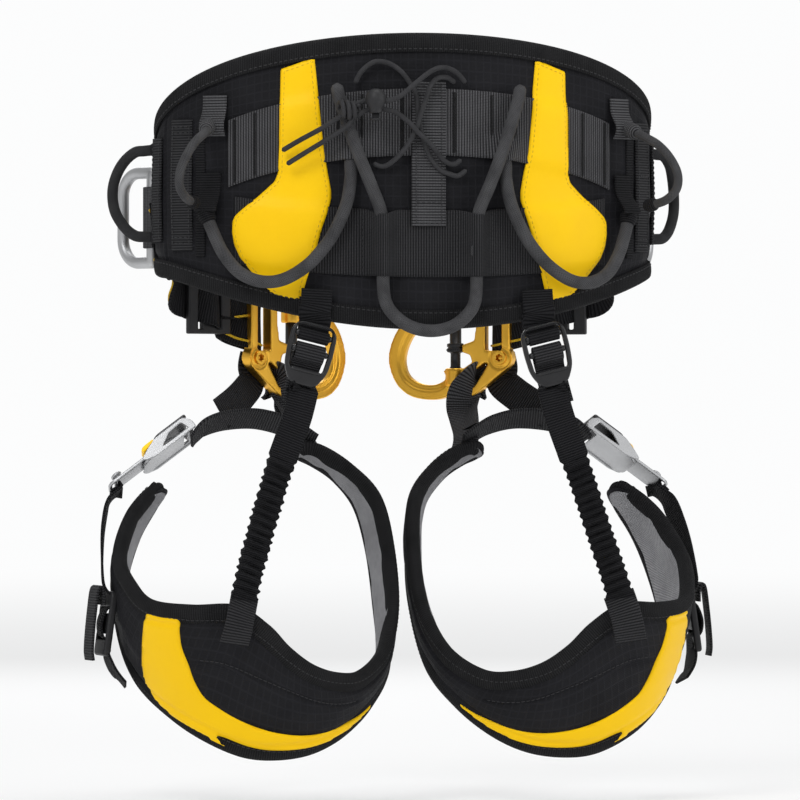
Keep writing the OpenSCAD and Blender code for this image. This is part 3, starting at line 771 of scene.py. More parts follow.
def patch(name, outline, onto, stuff, body, thick, pitch, pucker, lift=0.3):
    """A cut piece of cloth laid on a surface. onto gives points in mm from flat points and heights."""
    flat, triangles, inset, along = filled_outline(outline, pitch)
    edge_round = np.sqrt(np.clip(1 - (1 - np.clip(inset / 1.3, 0, 1)) ** 2, 0, 1))
    dent = np.exp(-((inset - 2.4) / 1.1) ** 2) * (0.55 + 0.45 * np.sin(along * 2 * np.pi / 3.5))
    height = lift + thick * edge_round - pucker * dent
    top = onto(flat, height)
    under = onto(flat, np.full(len(flat), lift * 0.2))
    verts = np.concatenate([top, under]) / 1000
    n = len(flat)
    faces = list(triangles) + [tuple(n + i for i in t[::-1]) for t in triangles]
    rim = {}
    for t in triangles:
        for i in range(3):
            pair = (t[i], t[(i + 1) % 3])
            rim[pair] = rim.get(pair, 0) + 1
    for a, b in list(rim):
        if (b, a) not in rim:
            faces.append((a, n + a, n + b, b))
    mesh = bpy.data.meshes.new(name)
    mesh.from_pydata(verts.tolist(), [], faces)
    layer = mesh.uv_layers.new(name="cloth")
    both = np.concatenate([flat, flat]) / 1000
    layer.data.foreach_set("uv", np.ascontiguousarray(both[[v for f in faces for v in f]],
                                                      np.float32).ravel())
    return made(name, mesh, stuff, body)


def coated_cloth(name, dark, light):
    """Coated cloth: smooth, with a faint weave and shallow creases, a little shiny."""
    m = Nodes(name, 0.46, specular=0.16, coat=0.02)
    m.shader.inputs["Coat Roughness"].default_value = 0.3
    weave = m.times(m.wave(m.u, 0.0008), m.wave(m.v, 0.0008))
    crease = m.speckle(34, 5.0)
    relief = m.plus(m.times(weave, 0.12), crease)
    # The creases are painted lighter on their crests and darker in their hollows: painted shade, with a fine
    # random tone over it.
    shade = m.plus(m.times(crease, 0.8), m.times(m.speckle(300), 0.25))
    return m.finish(m.between(dark, light, shade), relief, 0.0004, m.plus(0.3, m.times(crease, 0.3)))


yellow_cloth = coated_cloth("yellow_coated_cloth", (0.93, 0.545, 0.0), (1.0, 0.625, 0.0))
mm_per_degree = 2.35


def onto_belt(flat, height):
    rows = np.stack([flat[:, 0] / mm_per_degree, flat[:, 1], height], -1)
    return on_belt(rows)


panel_outline = [
    (26.4, 82.5), (29, 80.5), (32, 77.6), (35, 75), (35.2, 50), (35.3, 22), (35.6, 6), (36.6, 0),
    (39, -5.5),
    (42, -12), (45.5, -18.5), (47.7, -23), (48.5, -27), (48.6, -34), (48, -42), (46.2, -51), (43.2, -60),
    (40.2, -68), (37.5, -74.5), (35.4, -80), (32.5, -81.3), (29.8, -83), (29.2, -74), (28.4, -66),
    (26.4, -50),
    (25, -35), (23.4, -22), (22.4, -12), (22.4, -6), (23.2, 6), (24.1, 20), (25.2, 50)]


def panel_height(flat, height):
    """The panel lies over the webbing bands and sinks to the shell between and beyond them."""
    a, z = flat[:, 0] / mm_per_degree, flat[:, 1]
    half, ease = wide_web / 2, 2.2
    upper, lower = [1 / (1 + np.exp(-(z - (mid(a) - half)) / ease))
                    * (1 / (1 + np.exp((z - (mid(a) + half)) / ease)))
                    for mid in (upper_mid, lower_mid)]
    return onto_belt(np.stack([flat[:, 0], z], -1), height + 0.4 + 2.5 * np.clip(upper + lower, 0, 1))


def inset_line(outline, inset, pitch):
    """The outline moved inwards, as an open row that returns to its start."""
    edge = evenly(np.concatenate([outline, outline[:1]]), pitch)[:-1]
    way = np.roll(edge, -1, 0) - np.roll(edge, 1, 0)
    way /= np.linalg.norm(way, axis=1, keepdims=True)
    area = (edge[:, 0] * np.roll(edge[:, 1], -1) - np.roll(edge[:, 0], -1) * edge[:, 1]).sum()
    inward = np.stack([-way[:, 1], way[:, 0]], -1) * (1 if area > 0 else -1)
    moved = edge + inward * inset
    return np.concatenate([moved, moved[:1]])


for side in ("left", "right"):
    sign = 1 if side == "right" else -1
    outline = np.array([(sign * a * mm_per_degree, z) for a, z in panel_outline])
    outline = evenly(np.concatenate([outline, outline[:1]]), 1.5)[:-1]
    panel = patch("side_panel_cloth_" + side, outline, panel_height, yellow_cloth, "belt",
                  1.1, pitch=1.5, pucker=0.55)
    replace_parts(panel, "side_panel_" + side)
    line = inset_line(outline, 2.4, 1.5)
    seam = panel_height(line, np.full(len(line), 0.98))
    sew("side_panel_stitches_" + side, [(seam, belt_normal(line[:, 0] / mm_per_degree))],
        yellow_thread, "belt", thick=0.3)

# ---- Side straps, cord tunnels and cord sleeves
# Narrow webbing sewn upright near each hip, a folded strip of webbing whose roll holds the side
# loop, and short sewn sleeves where the cord ends go under the webbing.
for side in ("left", "right"):
    sign = 1 if side == "right" else -1

    def strip(name, a0, a1, low, high, off, thick, stuff):
        lo, hi = sorted((sign * a0, sign * a1))
        return belt_strip(name + side, lo, hi, low, high, off, thick, stuff)

    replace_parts(strip("side_strap_webbing_", 63, 73, -46, 42,
                      lambda z: 0.9 + 1.4 * bump_over(z, -2, 26), 1.8,
                      dark_webbing), "side_strap_" + side)
    strip("hip_strap_webbing_", 80, 90, -40, 30, lambda z: 1.6 + 0.8
          * bump_over(z, -8, 20), 1.8, dark_webbing)
    strip("hip_binding_strap_", 58, 61.5, -50, 36, lambda z: 0.9, 1.6, black_webbing)
    seams = []
    for a, low, high, off in ((64, -42, 38, 2.9), (72, -42, 38, 2.9), (81, -38, 28, 3.5),
                              (89, -38, 28, 3.5)):
        seams.append(belt_seam([(sign * a, z, off + (1.4 * bump_over(z, -2, 26) if a < 75 else 0.8
                                                     * bump_over(z, -8, 20)))
                                for z in np.linspace(low, high, 9)]))
    for z in (-41, -37, 6, 33, 37):
        seams.append(belt_seam([(sign * a, z, 2.9 + 1.4 * bump_over(z, -2, 26)) for a in (64.5, 68, 71.5)]))
    sew("side_strap_stitches_" + side, seams, grey_thread, "belt")

    # The roll that the top of the side loop comes out of, and its tail below
    start = mirrored(side_loop_route[:2], side)
    way = start[0] - start[1]
    way /= np.linalg.norm(way)
    roll_path = evenly(np.array([start[0] - way * 1.0, start[0] + way * 9,
                                 start[0] + way * 17 + (sign * -2, 3, 0)]), 1.5)
    tube("side_loop_roll_" + side, roll_path, 5.4, 20, charcoal_webbing, "belt", (0, 0, 1))
    strip("side_loop_tunnel_", 50.5, 58.5, 30, 58,
          lambda z: 1.2 + 6.5 * bump_over(z, 37, 8), 1.8, charcoal_webbing)
    end = spline(mirrored(side_loop_route, side), 8)[::-1]
    tube("side_loop_sleeve_" + side, evenly(end[length_along(end) < 13], 1.2), side_d / 2 + 1.5, 20,
         black_webbing,
         "belt", (0, 1, 0.2))
    gear = on_belt(spline([(sign * a, z, off) for a, z, off in gear_route], 8))[::-1]
    low_sleeve = evenly(gear[length_along(gear) < 15], 1.2)
    flat_ring = np.linspace(gear_d / 2 + 2.2, gear_d / 2 + 1.0, len(low_sleeve))
    tube("gear_loop_sleeve_" + side, low_sleeve, flat_ring, 20, black_webbing, "belt",
         (0, -1, 0))
    strip("gear_loop_tab_", 52.5, 59.5, -20, 6, lambda z: 1.0 + 9.5
          * bump_over(z, -19, 9), 1.8, black_webbing)
    for end_name, route in (("front", hip_loop_route[:3]), ("rear", hip_loop_route[::-1][:3])):
        end = spline(mirrored(route, side), 8)
        end = evenly(end[length_along(end) < 9], 1.2)
        tube("hip_loop_sleeve_%s_%s" % (end_name, side), end, hip_d / 2 + 1.3, 20, black_webbing, "belt",
             (0, 1, 0.2))

# ---- Elastic lacing, its knot and its cord lock
# One thin elastic cord is laced under the upper webbing and drawn up through a round cord lock.
# Its two tails pass through a knot and hang free over the left panel.
lace_d = 3.4


def behind(rows):
    """Rows of distance across, height and distance outside the shell, as points in mm."""
    rows = np.asarray(rows, float)
    y = -belt_back_d * np.cos(np.arcsin(rows[:, 0] / belt_half_w)) - rows[:, 2]
    return np.stack([rows[:, 0], y, rows[:, 1]], -1)


def elastic_sheath():
    m = Nodes("elastic_sheath", 0.7, sheen=0.01, specular=0.12)
    turn = m.wave(m.plus(m.u, m.times(m.v, 0.6)), 0.0007)
    # The turns of the sheath are painted lighter on their crests than in the grooves: painted highlight and
    # shade, varied by a random noise.
    return m.finish(m.between((0.012, 0.012, 0.013), (0.062, 0.062, 0.066),
                              m.times(turn, m.plus(m.speckle(120), 0.35))), turn, 0.00018)


lace_stuff = elastic_sheath()
lace_routes = {
    "upper_run": ("bare", [
        (-99, 20, 12), (-88, 27, 15), (-74, 35, 17.5), (-62, 43, 17.5), (-55, 49, 17.5),
        (-46, 53, 17.5), (-33, 53, 17.5), (-23, 56, 16.5), (-14, 63, 15), (-4, 71, 13.5),
        (3, 75, 12), (10, 76, 10), (18, 73, 8), (25, 66, 6)]),
    "lower_run": ("bare", [
        (-96, 11, 12), (-84, 19, 15), (-70, 28, 17.5), (-58, 36, 17.5), (-53, 42, 17.5),
        (-44, 47, 17.5), (-34, 47.5, 17.5), (-25, 45.5, 16.5), (-16, 39, 15), (-9, 32, 14),
        (0, 24, 12), (7, 16, 9), (13, 12, 7), (18, 12, 6), (22, 15, 5.5)]),
    "arch": ("object", [
        (-50, 65, 5), (-46, 73, 5.5), (-39, 79, 6), (-33, 80, 6), (-26, 78, 6), (-19, 73, 6),
        (-13, 65, 6.4), (-9, 57, 6.6), (-7, 38, 6.6), (-3, 24, 6.6), (1, 15, 6.6), (7, 8, 6.6),
        (14, 5, 6), (20, 4, 5), (26, 8, 4.5)]),
    "inner_run": ("object", [
        (18, 66, 5), (12, 69.5, 6.5), (5, 69, 8.5), (0, 64, 10), (-3, 56, 10.4), (-7, 44, 10.4),
        (-10, 35, 10.4), (-15, 25, 9), (-21, 17, 7), (-28, 11, 5), (-33, 10, 4.5), (-38, 12, 4.5)])}
first_lace = None
for run, (far_end, rows) in lace_routes.items():
    path = evenly(spline(behind(rows), 10), 1.0)
    if far_end == "bare":
        path = path[::-1]
    piece = tube("lacing_" + run, path, lace_d / 2, 14, lace_stuff, "belt", (0, -1, 0.2))
    if first_lace is None:
        first_lace = piece
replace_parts(first_lace, "lacing_cord")

knot_at = behind([(-56.5, 46.5, 17.5)])[0]
knot_turns = []
knot_points, knot_wraps = 150, 3.4
for i in range(knot_points):
    f = i / (knot_points - 1)
    turn = f * 2 * math.pi * knot_wraps
    bulge = 3.7 + 0.9 * math.sin(f * math.pi)
    knot_turns.append(knot_at + (-6.5 + 13 * f, bulge * math.cos(turn) * 1.05,
                                 bulge * math.sin(turn) * 1.15 + 1.5 - 2 * f))
tube("lacing_knot", np.array(knot_turns), lace_d / 2 * 0.95, 14, lace_stuff, "belt",
     (0, -1, 0.2))


def moulded_nylon(name, rough=0.45, tone=(0.010, 0.010, 0.011)):
    """Moulded nylon: fine texture, worn a little lighter in places."""
    m = Nodes(name, rough, specular=0.28)
    grain = m.speckle(600.0)
    wear = m.speckle(45, 6.0)
    light = tuple(c * 2.6 + 0.006 for c in tone)
    return m.finish(m.between(tone, light, m.times(wear, m.plus(grain, 0.3))),
                    grain, 0.00008, m.plus(rough - 0.12, m.times(wear, 0.3)))


black_nylon = moulded_nylon("black_nylon")
lock_at = behind([(-40, 54, 23.5)])[0]


def turned(name, at, profile, stuff, body, sides=48, way=(0, 0, 1)):
    """A shape turned about an axis, from rows of radius and height in mm."""
    spin = np.arange(sides) * 2 * math.pi / sides
    frame_to = Vector(way).to_track_quat("Z", "Y").to_matrix()
    rings = []
    for r, h in profile:
        ring = np.stack([r * np.cos(spin), r * np.sin(spin), np.full(sides, h)], -1)
        rings.append(np.asarray(at) + ring @ np.array(frame_to).T)
    return skin(name, rings, stuff, body)


lock_profile = [(2.7, -9.2), (4.0, -9.2), (4.4, -8.6), (4.5, -6.8), (5.2, -5.2), (6.3, -2.8), (6.8, -0.4),
                (6.7, 1.8),
                (6.1, 3.8), (5.0, 5.4), (3.4, 6.5), (1.6, 7.0), (0.3, 7.1)]
lock = turned("cord_lock_barrel", lock_at, spline(lock_profile, 4), black_nylon, "belt")
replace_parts(lock, "cord_lock")
button = turned("cord_lock_plunger", lock_at + (0, 0, -12.5),
                [(0.3, -1.6), (3.4, -1.6), (3.9, -1.2), (4.0, -0.6), (3.6, -0.1), (2.5, 0.1), (2.5, 8.4),
                 (0.3, 8.5)],
                black_nylon, "lock_button")
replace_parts(button, "cord_lock_button")

# ---- Leg pads
# Foam wrapped in ripstop outside and pale brushed mesh inside, cut as a curved cradle that is wide
# under the thigh and narrow at its ends. A folded knit tape binds the whole edge.
near_rim = [
    (160, 42, -200), (183, 24, -222), (196, 0, -250), (193, -28, -268), (183, -50, -281),
    (160, -74, -284), (132, -86, -284), (111, -86, -297), (96, -83, -312), (79, -78, -324),
    (60, -69, -330), (42, -57, -329), (22, -38, -314), (10, -15, -286), (8, 8, -245),
    (13, 25, -212), (29, 38, -192), (48, 45, -179), (65, 48, -175)]
far_rim = [
    (157, 62, -212), (175, 58, -240), (187, 48, -275), (189, 22, -310), (182, -2, -338),
    (166, -26, -358), (146, -43, -373), (121, -50, -384), (97, -52, -386), (73, -49, -382),
    (51, -41, -371), (31, -27, -353), (16, -6, -328), (13, 28, -286), (15, 44, -250),
    (22, 54, -220), (36, 58, -201), (52, 60, -190), (67, 58, -184)]
last_station = len(near_rim) - 1
pad_long, pad_wide = 26.0, 102.0
near_line, far_line = spline(near_rim, 20), spline(far_rim, 20)
station = np.arange(len(near_line)) / 20


def on_pad_middle(s, t):
    """The middle of the right pad's thickness: s runs along it, t from its near rim to its far rim."""
    near = np.stack([np.interp(s, station, near_line[:, i]) for i in range(3)], -1)
    far = np.stack([np.interp(s, station, far_line[:, i]) for i in range(3)], -1)
    return near * (1 - t[..., None]) + far * t[..., None]


def pad_outward(s, t):
    ds, dt = 0.15, 0.06
    along = on_pad_middle(np.clip(s + ds, 0, last_station),
                          t) - on_pad_middle(np.clip(s - ds, 0, last_station), t)
    wide = on_pad_middle(s, np.clip(t + dt, 0, 1)) - on_pad_middle(s, np.clip(t - dt, 0, 1))
    n = np.cross(along, wide)
    n /= np.linalg.norm(n, axis=-1, keepdims=True)
    loop_middle = np.array([95.0, 0.0, -285.0])
    return n * np.sign(((on_pad_middle(s, t) - loop_middle) * n).sum(-1, keepdims=True))


def end_curved(f, t):
    """Stations along the pad with both ends rounded."""
    low = 0.62 * (1 - np.sqrt(np.clip(1 - (2 * t - 1) ** 2, 0, 1)))
    high = last_station - 0.55 * (1 - np.sqrt(np.clip(1 - (2 * t - 1) ** 2, 0, 1)))
    return low + (high - low) * f


slit_line = spline([(5.5, 0.43), (6.9, 0.39), (8.5, 0.36), (10.4, 0.46)], 12)


def pad_face(s, t, outside):
    """Height of the cover over the middle of the foam, in mm."""
    width = np.linalg.norm(on_pad_middle(s, np.ones_like(t)) - on_pad_middle(s, np.zeros_like(t)), axis=-1)
    inset = np.minimum(t, 1 - t) * width
    rounded = 1.6 + 3.1 * np.sqrt(np.clip(inset / 9, 0, 1))
    if not outside:
        channel = np.abs(s % 3 - 1.5) * pad_long
        return rounded + 0.9 * np.clip(inset / 16, 0, 1) * np.clip(channel / 9, 0.3, 1)
    crown = 2.6 * np.clip((inset - 9) / 24, 0, 1) ** 0.7
    gap = np.hypot((s[..., None] - slit_line[:, 0]) * pad_long,
                   (t[..., None] - slit_line[:, 1]) * 100).min(-1)
    slit = 1.5 * np.exp(-(gap / 1.8) ** 2)
    rim_seam = 1.3 * np.exp(-((inset - 11.5) / 1.7) ** 2)
    return rounded + crown - slit - rim_seam


def onto_pad(side, s, t, height):
    p = on_pad_middle(s, t) + pad_outward(s, t) * height[..., None]
    return mirrored(p, side)


brushed_lining = spacer_mesh("pale_brushed_lining", (0.20, 0.20, 0.21), (0.52, 0.52, 0.54), 0.0021)
pad_rows, pad_columns = 331, 49
pad_f = np.linspace(0, 1, pad_rows)[:, None] + np.zeros((1, pad_columns))
pad_t = np.zeros((pad_rows, 1)) + np.linspace(0, 1, pad_columns)[None]
pad_s = end_curved(pad_f, pad_t)
pad_creases = soft_folds(on_pad_middle(pad_s, pad_t), 21.0, 1.0) + soft_folds(on_pad_middle(pad_s, pad_t),
                                                                              8.0, 0.35)


def open_sheet(name, grid, stuff, body, back):
    """A cover as a thin closed sheet: a grid of points in mm, turned back on itself at its edge."""
    n = np.cross(np.gradient(grid, axis=0), np.gradient(grid, axis=1))
    n /= np.maximum(np.linalg.norm(n, axis=-1, keepdims=True), 1e-9)
    rings = np.concatenate([grid, (grid - n * back)[:, ::-1]], axis=1)
    return skin(name, rings, stuff, body)


def pad_perimeter():
    """Stations and places across the pad once round its edge, evenly spaced."""
    rim_count, end_count = 500, 60
    t_up, f_on = np.linspace(0, 1, end_count), np.linspace(0, 1, rim_count)
    near, far = np.zeros(rim_count), np.ones(rim_count)
    s = np.concatenate([end_curved(f_on, near), end_curved(np.ones(end_count), t_up),
                        end_curved(f_on[::-1], far), end_curved(np.zeros(end_count), t_up[::-1])])
    t = np.concatenate([near, t_up, far, t_up[::-1]])
    p = on_pad_middle(s, t)
    length = length_along(p)
    at = np.linspace(0, length[-1], 520)[:-1]
    return np.interp(at, length, s), np.interp(at, length, t)


def pad_binding(side, rows):
    s, t = pad_perimeter()
    p, n = on_pad_middle(s, t), pad_outward(s, t)
    along = np.roll(p, -2, 0) - np.roll(p, 2, 0)
    along /= np.linalg.norm(along, axis=1, keepdims=True)
    inward = np.cross(n, along)
    centre = on_pad_middle(np.clip(s, 0.8, last_station - 0.8), np.full_like(t, 0.5))
    inward *= np.sign(((centre - p) * inward).sum(1, keepdims=True))
    for _ in range(6):
        inward = np.roll(inward, 1, 0) + inward + np.roll(inward, -1, 0)
        inward /= np.linalg.norm(inward, axis=1, keepdims=True)
    rings = p[:, None] + inward[:, None] * rows[None, :, :1] + n[:, None] * rows[None, :, 1:]
    return mirrored(rings, side)


tape_section = spline([(11.2, 3.6), (8.5, 4.9), (5.0, 5.2), (1.6, 4.0), (-1.3, 1.4), (-1.3, -1.4),
                       (1.6, -3.8),
                       (5.0, -4.9), (9.0, -5.0), (10.5, -3.2), (9.0, -3.0), (4.0, -2.6), (4.0, 2.8),
                       (9.0, 3.2)], 2, closed=True)
swoosh = [
    (4.05, 0.10), (4.45, 0.09), (4.8, 0.09), (4.92, 0.2), (5.05, 0.32), (5.3, 0.46), (5.5, 0.57),
    (5.75, 0.655),
    (6.0, 0.695), (6.5, 0.72), (7.1, 0.73), (7.8, 0.74), (8.65, 0.75), (9.35, 0.755), (9.9, 0.765),
    (10.45, 0.785),
    (11.0, 0.82), (10.35, 0.862), (9.7, 0.885), (9.1, 0.897), (8.5, 0.903), (7.95, 0.905), (7.4, 0.905),
    (6.9, 0.9), (6.5, 0.9), (6.3, 0.915), (6.5, 0.945), (6.75, 0.972), (6.4, 0.968), (6.0, 0.962),
    (5.6, 0.957),
    (5.2, 0.95), (4.85, 0.935), (4.6, 0.9), (4.42, 0.84), (4.25, 0.7), (4.15, 0.46), (4.08, 0.3)]

for side in ("left", "right"):
    leg = "leg_" + side
    outside = onto_pad(side, pad_s, pad_t, pad_face(pad_s, pad_t, True) + pad_creases
                       * np.clip(np.minimum(pad_t, 1 - pad_t) * 9, 0, 1))
    inside = onto_pad(side, pad_s, pad_t, -pad_face(pad_s, pad_t, False) - 0.5 * pad_creases)
    rings = np.concatenate([outside, inside[:, ::-1]], axis=1)
    cover = skin("leg_pad_cover_" + side, rings, black_ripstop, leg)
    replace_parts(cover, "leg_pad_" + side)
    lining_t = pad_t * 0.90 + 0.05
    lining_s = np.clip(end_curved(pad_f * 0.984 + 0.008, lining_t), 0, last_station)
    lining = onto_pad(side, lining_s, lining_t, -pad_face(lining_s, lining_t, False) - 0.5 * pad_creases
                      - 0.35)
    open_sheet("leg_pad_lining_" + side, lining, brushed_lining, leg,
               back=-0.3 if side == "right" else 0.3)
    skin("leg_pad_binding_" + side, pad_binding(side, tape_section), charcoal_knit, leg,
         path_closed=True)
    outline = spline([(s * pad_long, t * pad_wide) for s, t in swoosh], 4, closed=True)

    def onto_leg(flat, height, side=side):
        s, t = flat[:, 0] / pad_long, flat[:, 1] / pad_wide
        return onto_pad(side, s, t, pad_face(s, t, True) + height)

    patch("leg_pad_yellow_panel_" + side, outline, onto_leg, yellow_cloth, leg, 1.1,
          lift=0.5, pitch=1.9,
          pucker=0.3)
    s, t = pad_perimeter()
    s, t = np.append(s, s[0]), np.append(t, t[0])
    seam_t = np.clip(t, 0.086, 0.914)
    seam_s = np.clip(s, 0.36, last_station - 0.33)
    slit_s, slit_t = slit_line[:, 0], slit_line[:, 1] - 0.022
    seam_lines = [(onto_pad(side, s, t, pad_face(s, t, True) + lift), mirrored(pad_outward(s, t), side))
                  for s, t, lift in ((seam_s, seam_t, 0.9), (slit_s, slit_t, 0.25))]
    sew("leg_pad_stitches_" + side, seam_lines, grey_thread, leg, thick=0.3)

# ---- Risers between the belt and the leg loops
# Each riser is a short tab on the belt, a three-bar buckle, 20 mm webbing wrapped over its bars
# and an elastic gathered into folds inside a knit sleeve, with its last tab sewn to the leg pad.
riser_lock = np.array([82.0, -80.0, -117.0])
lock_lean = math.radians(-14)
lock_across = np.array([math.cos(lock_lean), 0, -math.sin(lock_lean)])
lock_up = np.array([math.sin(lock_lean), 0, math.cos(lock_lean)])
lock_out = np.cross(lock_across, lock_up)


def flat_strap(name, path, width, thick, start, end, stuff, body, side="right", pitch=1.2,
               crown=0.0):
    """Webbing along a path in mm on the right side, or mirrored, its width direction given at each end."""
    path = evenly(np.asarray(path, float), pitch)
    across, up = cross_ways(path, start, end)
    w = np.linspace(-1, 1, 15)
    arch = crown * (1 - w ** 2)
    width = np.broadcast_to(np.asarray(width, float), (len(path),))[:, None, None]
    sideways = across[:, None] * (w[None, :, None] * width / 2)
    top = path[:, None] + sideways + up[:, None] * (arch + thick / 2)[None, :, None]
    low = path[:, None] + sideways[:, ::-1] + up[:, None] * (arch - thick / 2)[None, ::-1, None]
    tip = 0.35
    right_edge = path[:, None] + across[:, None] * (width / 2 + tip)
    left_edge = path[:, None] - across[:, None] * (width / 2 + tip)
    rings = np.concatenate([top, right_edge, low, left_edge], axis=1)
    return skin(name, mirrored(rings, side), stuff, body)


def plate(name, outlines, thick, edge, place, stuff, body):
    """A flat plate cut to outlines in mm, with holes, its edges rounded, set in place by a matrix."""
    curve = bpy.data.curves.new(name, "CURVE")
    curve.dimensions = "2D"
    curve.fill_mode = "BOTH"
    for outline in outlines:
        line = curve.splines.new("POLY")
        line.points.add(len(outline) - 1)
        for point, (x, y) in zip(line.points, outline):
            point.co = (x / 1000, y / 1000, 0, 1)
        line.use_cyclic_u = True
    curve.extrude = (thick / 2 - edge) / 1000
    curve.bevel_depth = edge / 1000
    curve.bevel_resolution = 3
    curve.offset = -edge / 1000
    holder = bpy.data.objects.new(name + "_outline", curve)
    scene.collection.objects.link(holder)
    bpy.context.view_layer.update()
    mesh = bpy.data.meshes.new_from_object(holder.evaluated_get(bpy.context.evaluated_depsgraph_get()))
    bpy.data.objects.remove(holder)
    mesh.name = name
    mesh.transform(place)
    shape = bmesh.new()
    shape.from_mesh(mesh)
    bmesh.ops.remove_doubles(shape, verts=shape.verts, dist=2e-6)
    bmesh.ops.recalc_face_normals(shape, faces=shape.faces)
    shape.to_mesh(mesh)
    shape.free()
    piece = made(name, mesh, stuff, body)
    for polygon in piece.data.polygons:
        polygon.use_smooth = True
    soften = piece.modifiers.new("even_shading", "WEIGHTED_NORMAL")
    soften.keep_sharp = False
    return piece


def place_at(at, x_way, y_way, z_way, side):
    """The matrix that sets a flat plate at a place on the right side, or its mirror image."""
    m = np.eye(4)
    for i, way in enumerate((x_way, y_way, z_way)):
        m[:3, i] = way
    m[:3, 3] = np.asarray(at) / 1000
    if side == "left":
        m = np.diag([-1, 1, 1, 1]) @ m
    return Matrix(m.tolist())


def rounded(outline, radius, steps=5):
    """A polygon with its corners rounded to a radius in mm, or as much of it as fits."""
    p = np.asarray(outline, float)
    out = []
    for i in range(len(p)):
        a, b, c = p[i - 1], p[i], p[(i + 1) % len(p)]
        to_a, to_c = a - b, c - b
        reach = min(radius, np.linalg.norm(to_a) * 0.49, np.linalg.norm(to_c) * 0.49)
        start = b + to_a / np.linalg.norm(to_a) * reach
        finish = b + to_c / np.linalg.norm(to_c) * reach
        for f in np.linspace(0, 1, steps):
            out.append(tuple((1 - f) ** 2 * start + 2 * f * (1 - f) * b + f ** 2 * finish))
    return out


def coated_metal(name, dark, light, rough, metal=1.0, scratch=0.35):
    """Metal with a satin finish, cloudy with handling."""
    m = Nodes(name, rough, metal=metal, specular=0.5)
    cloud = m.speckle(55, 4.0)
    return m.finish(m.between(dark, light, cloud),
                    rough=m.plus(rough - scratch * 0.25, m.times(cloud, scratch * 0.5)))


black_metal = coated_metal("black_coated_steel", (0.008, 0.008, 0.009), (0.03, 0.03, 0.032), 0.36,
                           metal=0.4)
gold_metal = coated_metal("gold_anodised_alloy", (0.80, 0.40, 0.035), (1.0, 0.60, 0.085), 0.36, scratch=0.1)
silver_metal = coated_metal("silver_anodised_alloy", (0.42, 0.425, 0.435), (0.58, 0.585, 0.595), 0.46,
                            scratch=0.1)
grey_metal = coated_metal("grey_brushed_steel", (0.055, 0.055, 0.058), (0.12, 0.12, 0.124), 0.4,
                          scratch=0.15)
yellow_nylon = moulded_nylon("yellow_nylon", 0.4, tone=(0.80, 0.47, 0.01))

lock_outline = rounded([(-11, 22.2), (11, 22.2), (15.6, 17), (16, 4), (15, -9), (9, -20), (-9, -20),
                        (-15, -9), (-16, 4),
                        (-15.6, 17)], 4.5)
lock_window = rounded([(-12, 19.6), (12, 19.6), (12.6, 15), (12.6, 2), (11.6, -9.6), (-11.6, -9.6),
                       (-12.6, 2), (-12.6, 15)], 2.4)


def lock_point(across, up, out):
    return riser_lock + lock_across * across + lock_up * up + lock_out * out


def lock_run(rows):
    """Points along the webbing at the middle of the buckle, from rows of height and distance out."""
    return [lock_point(0, up, out) for up, out in rows]


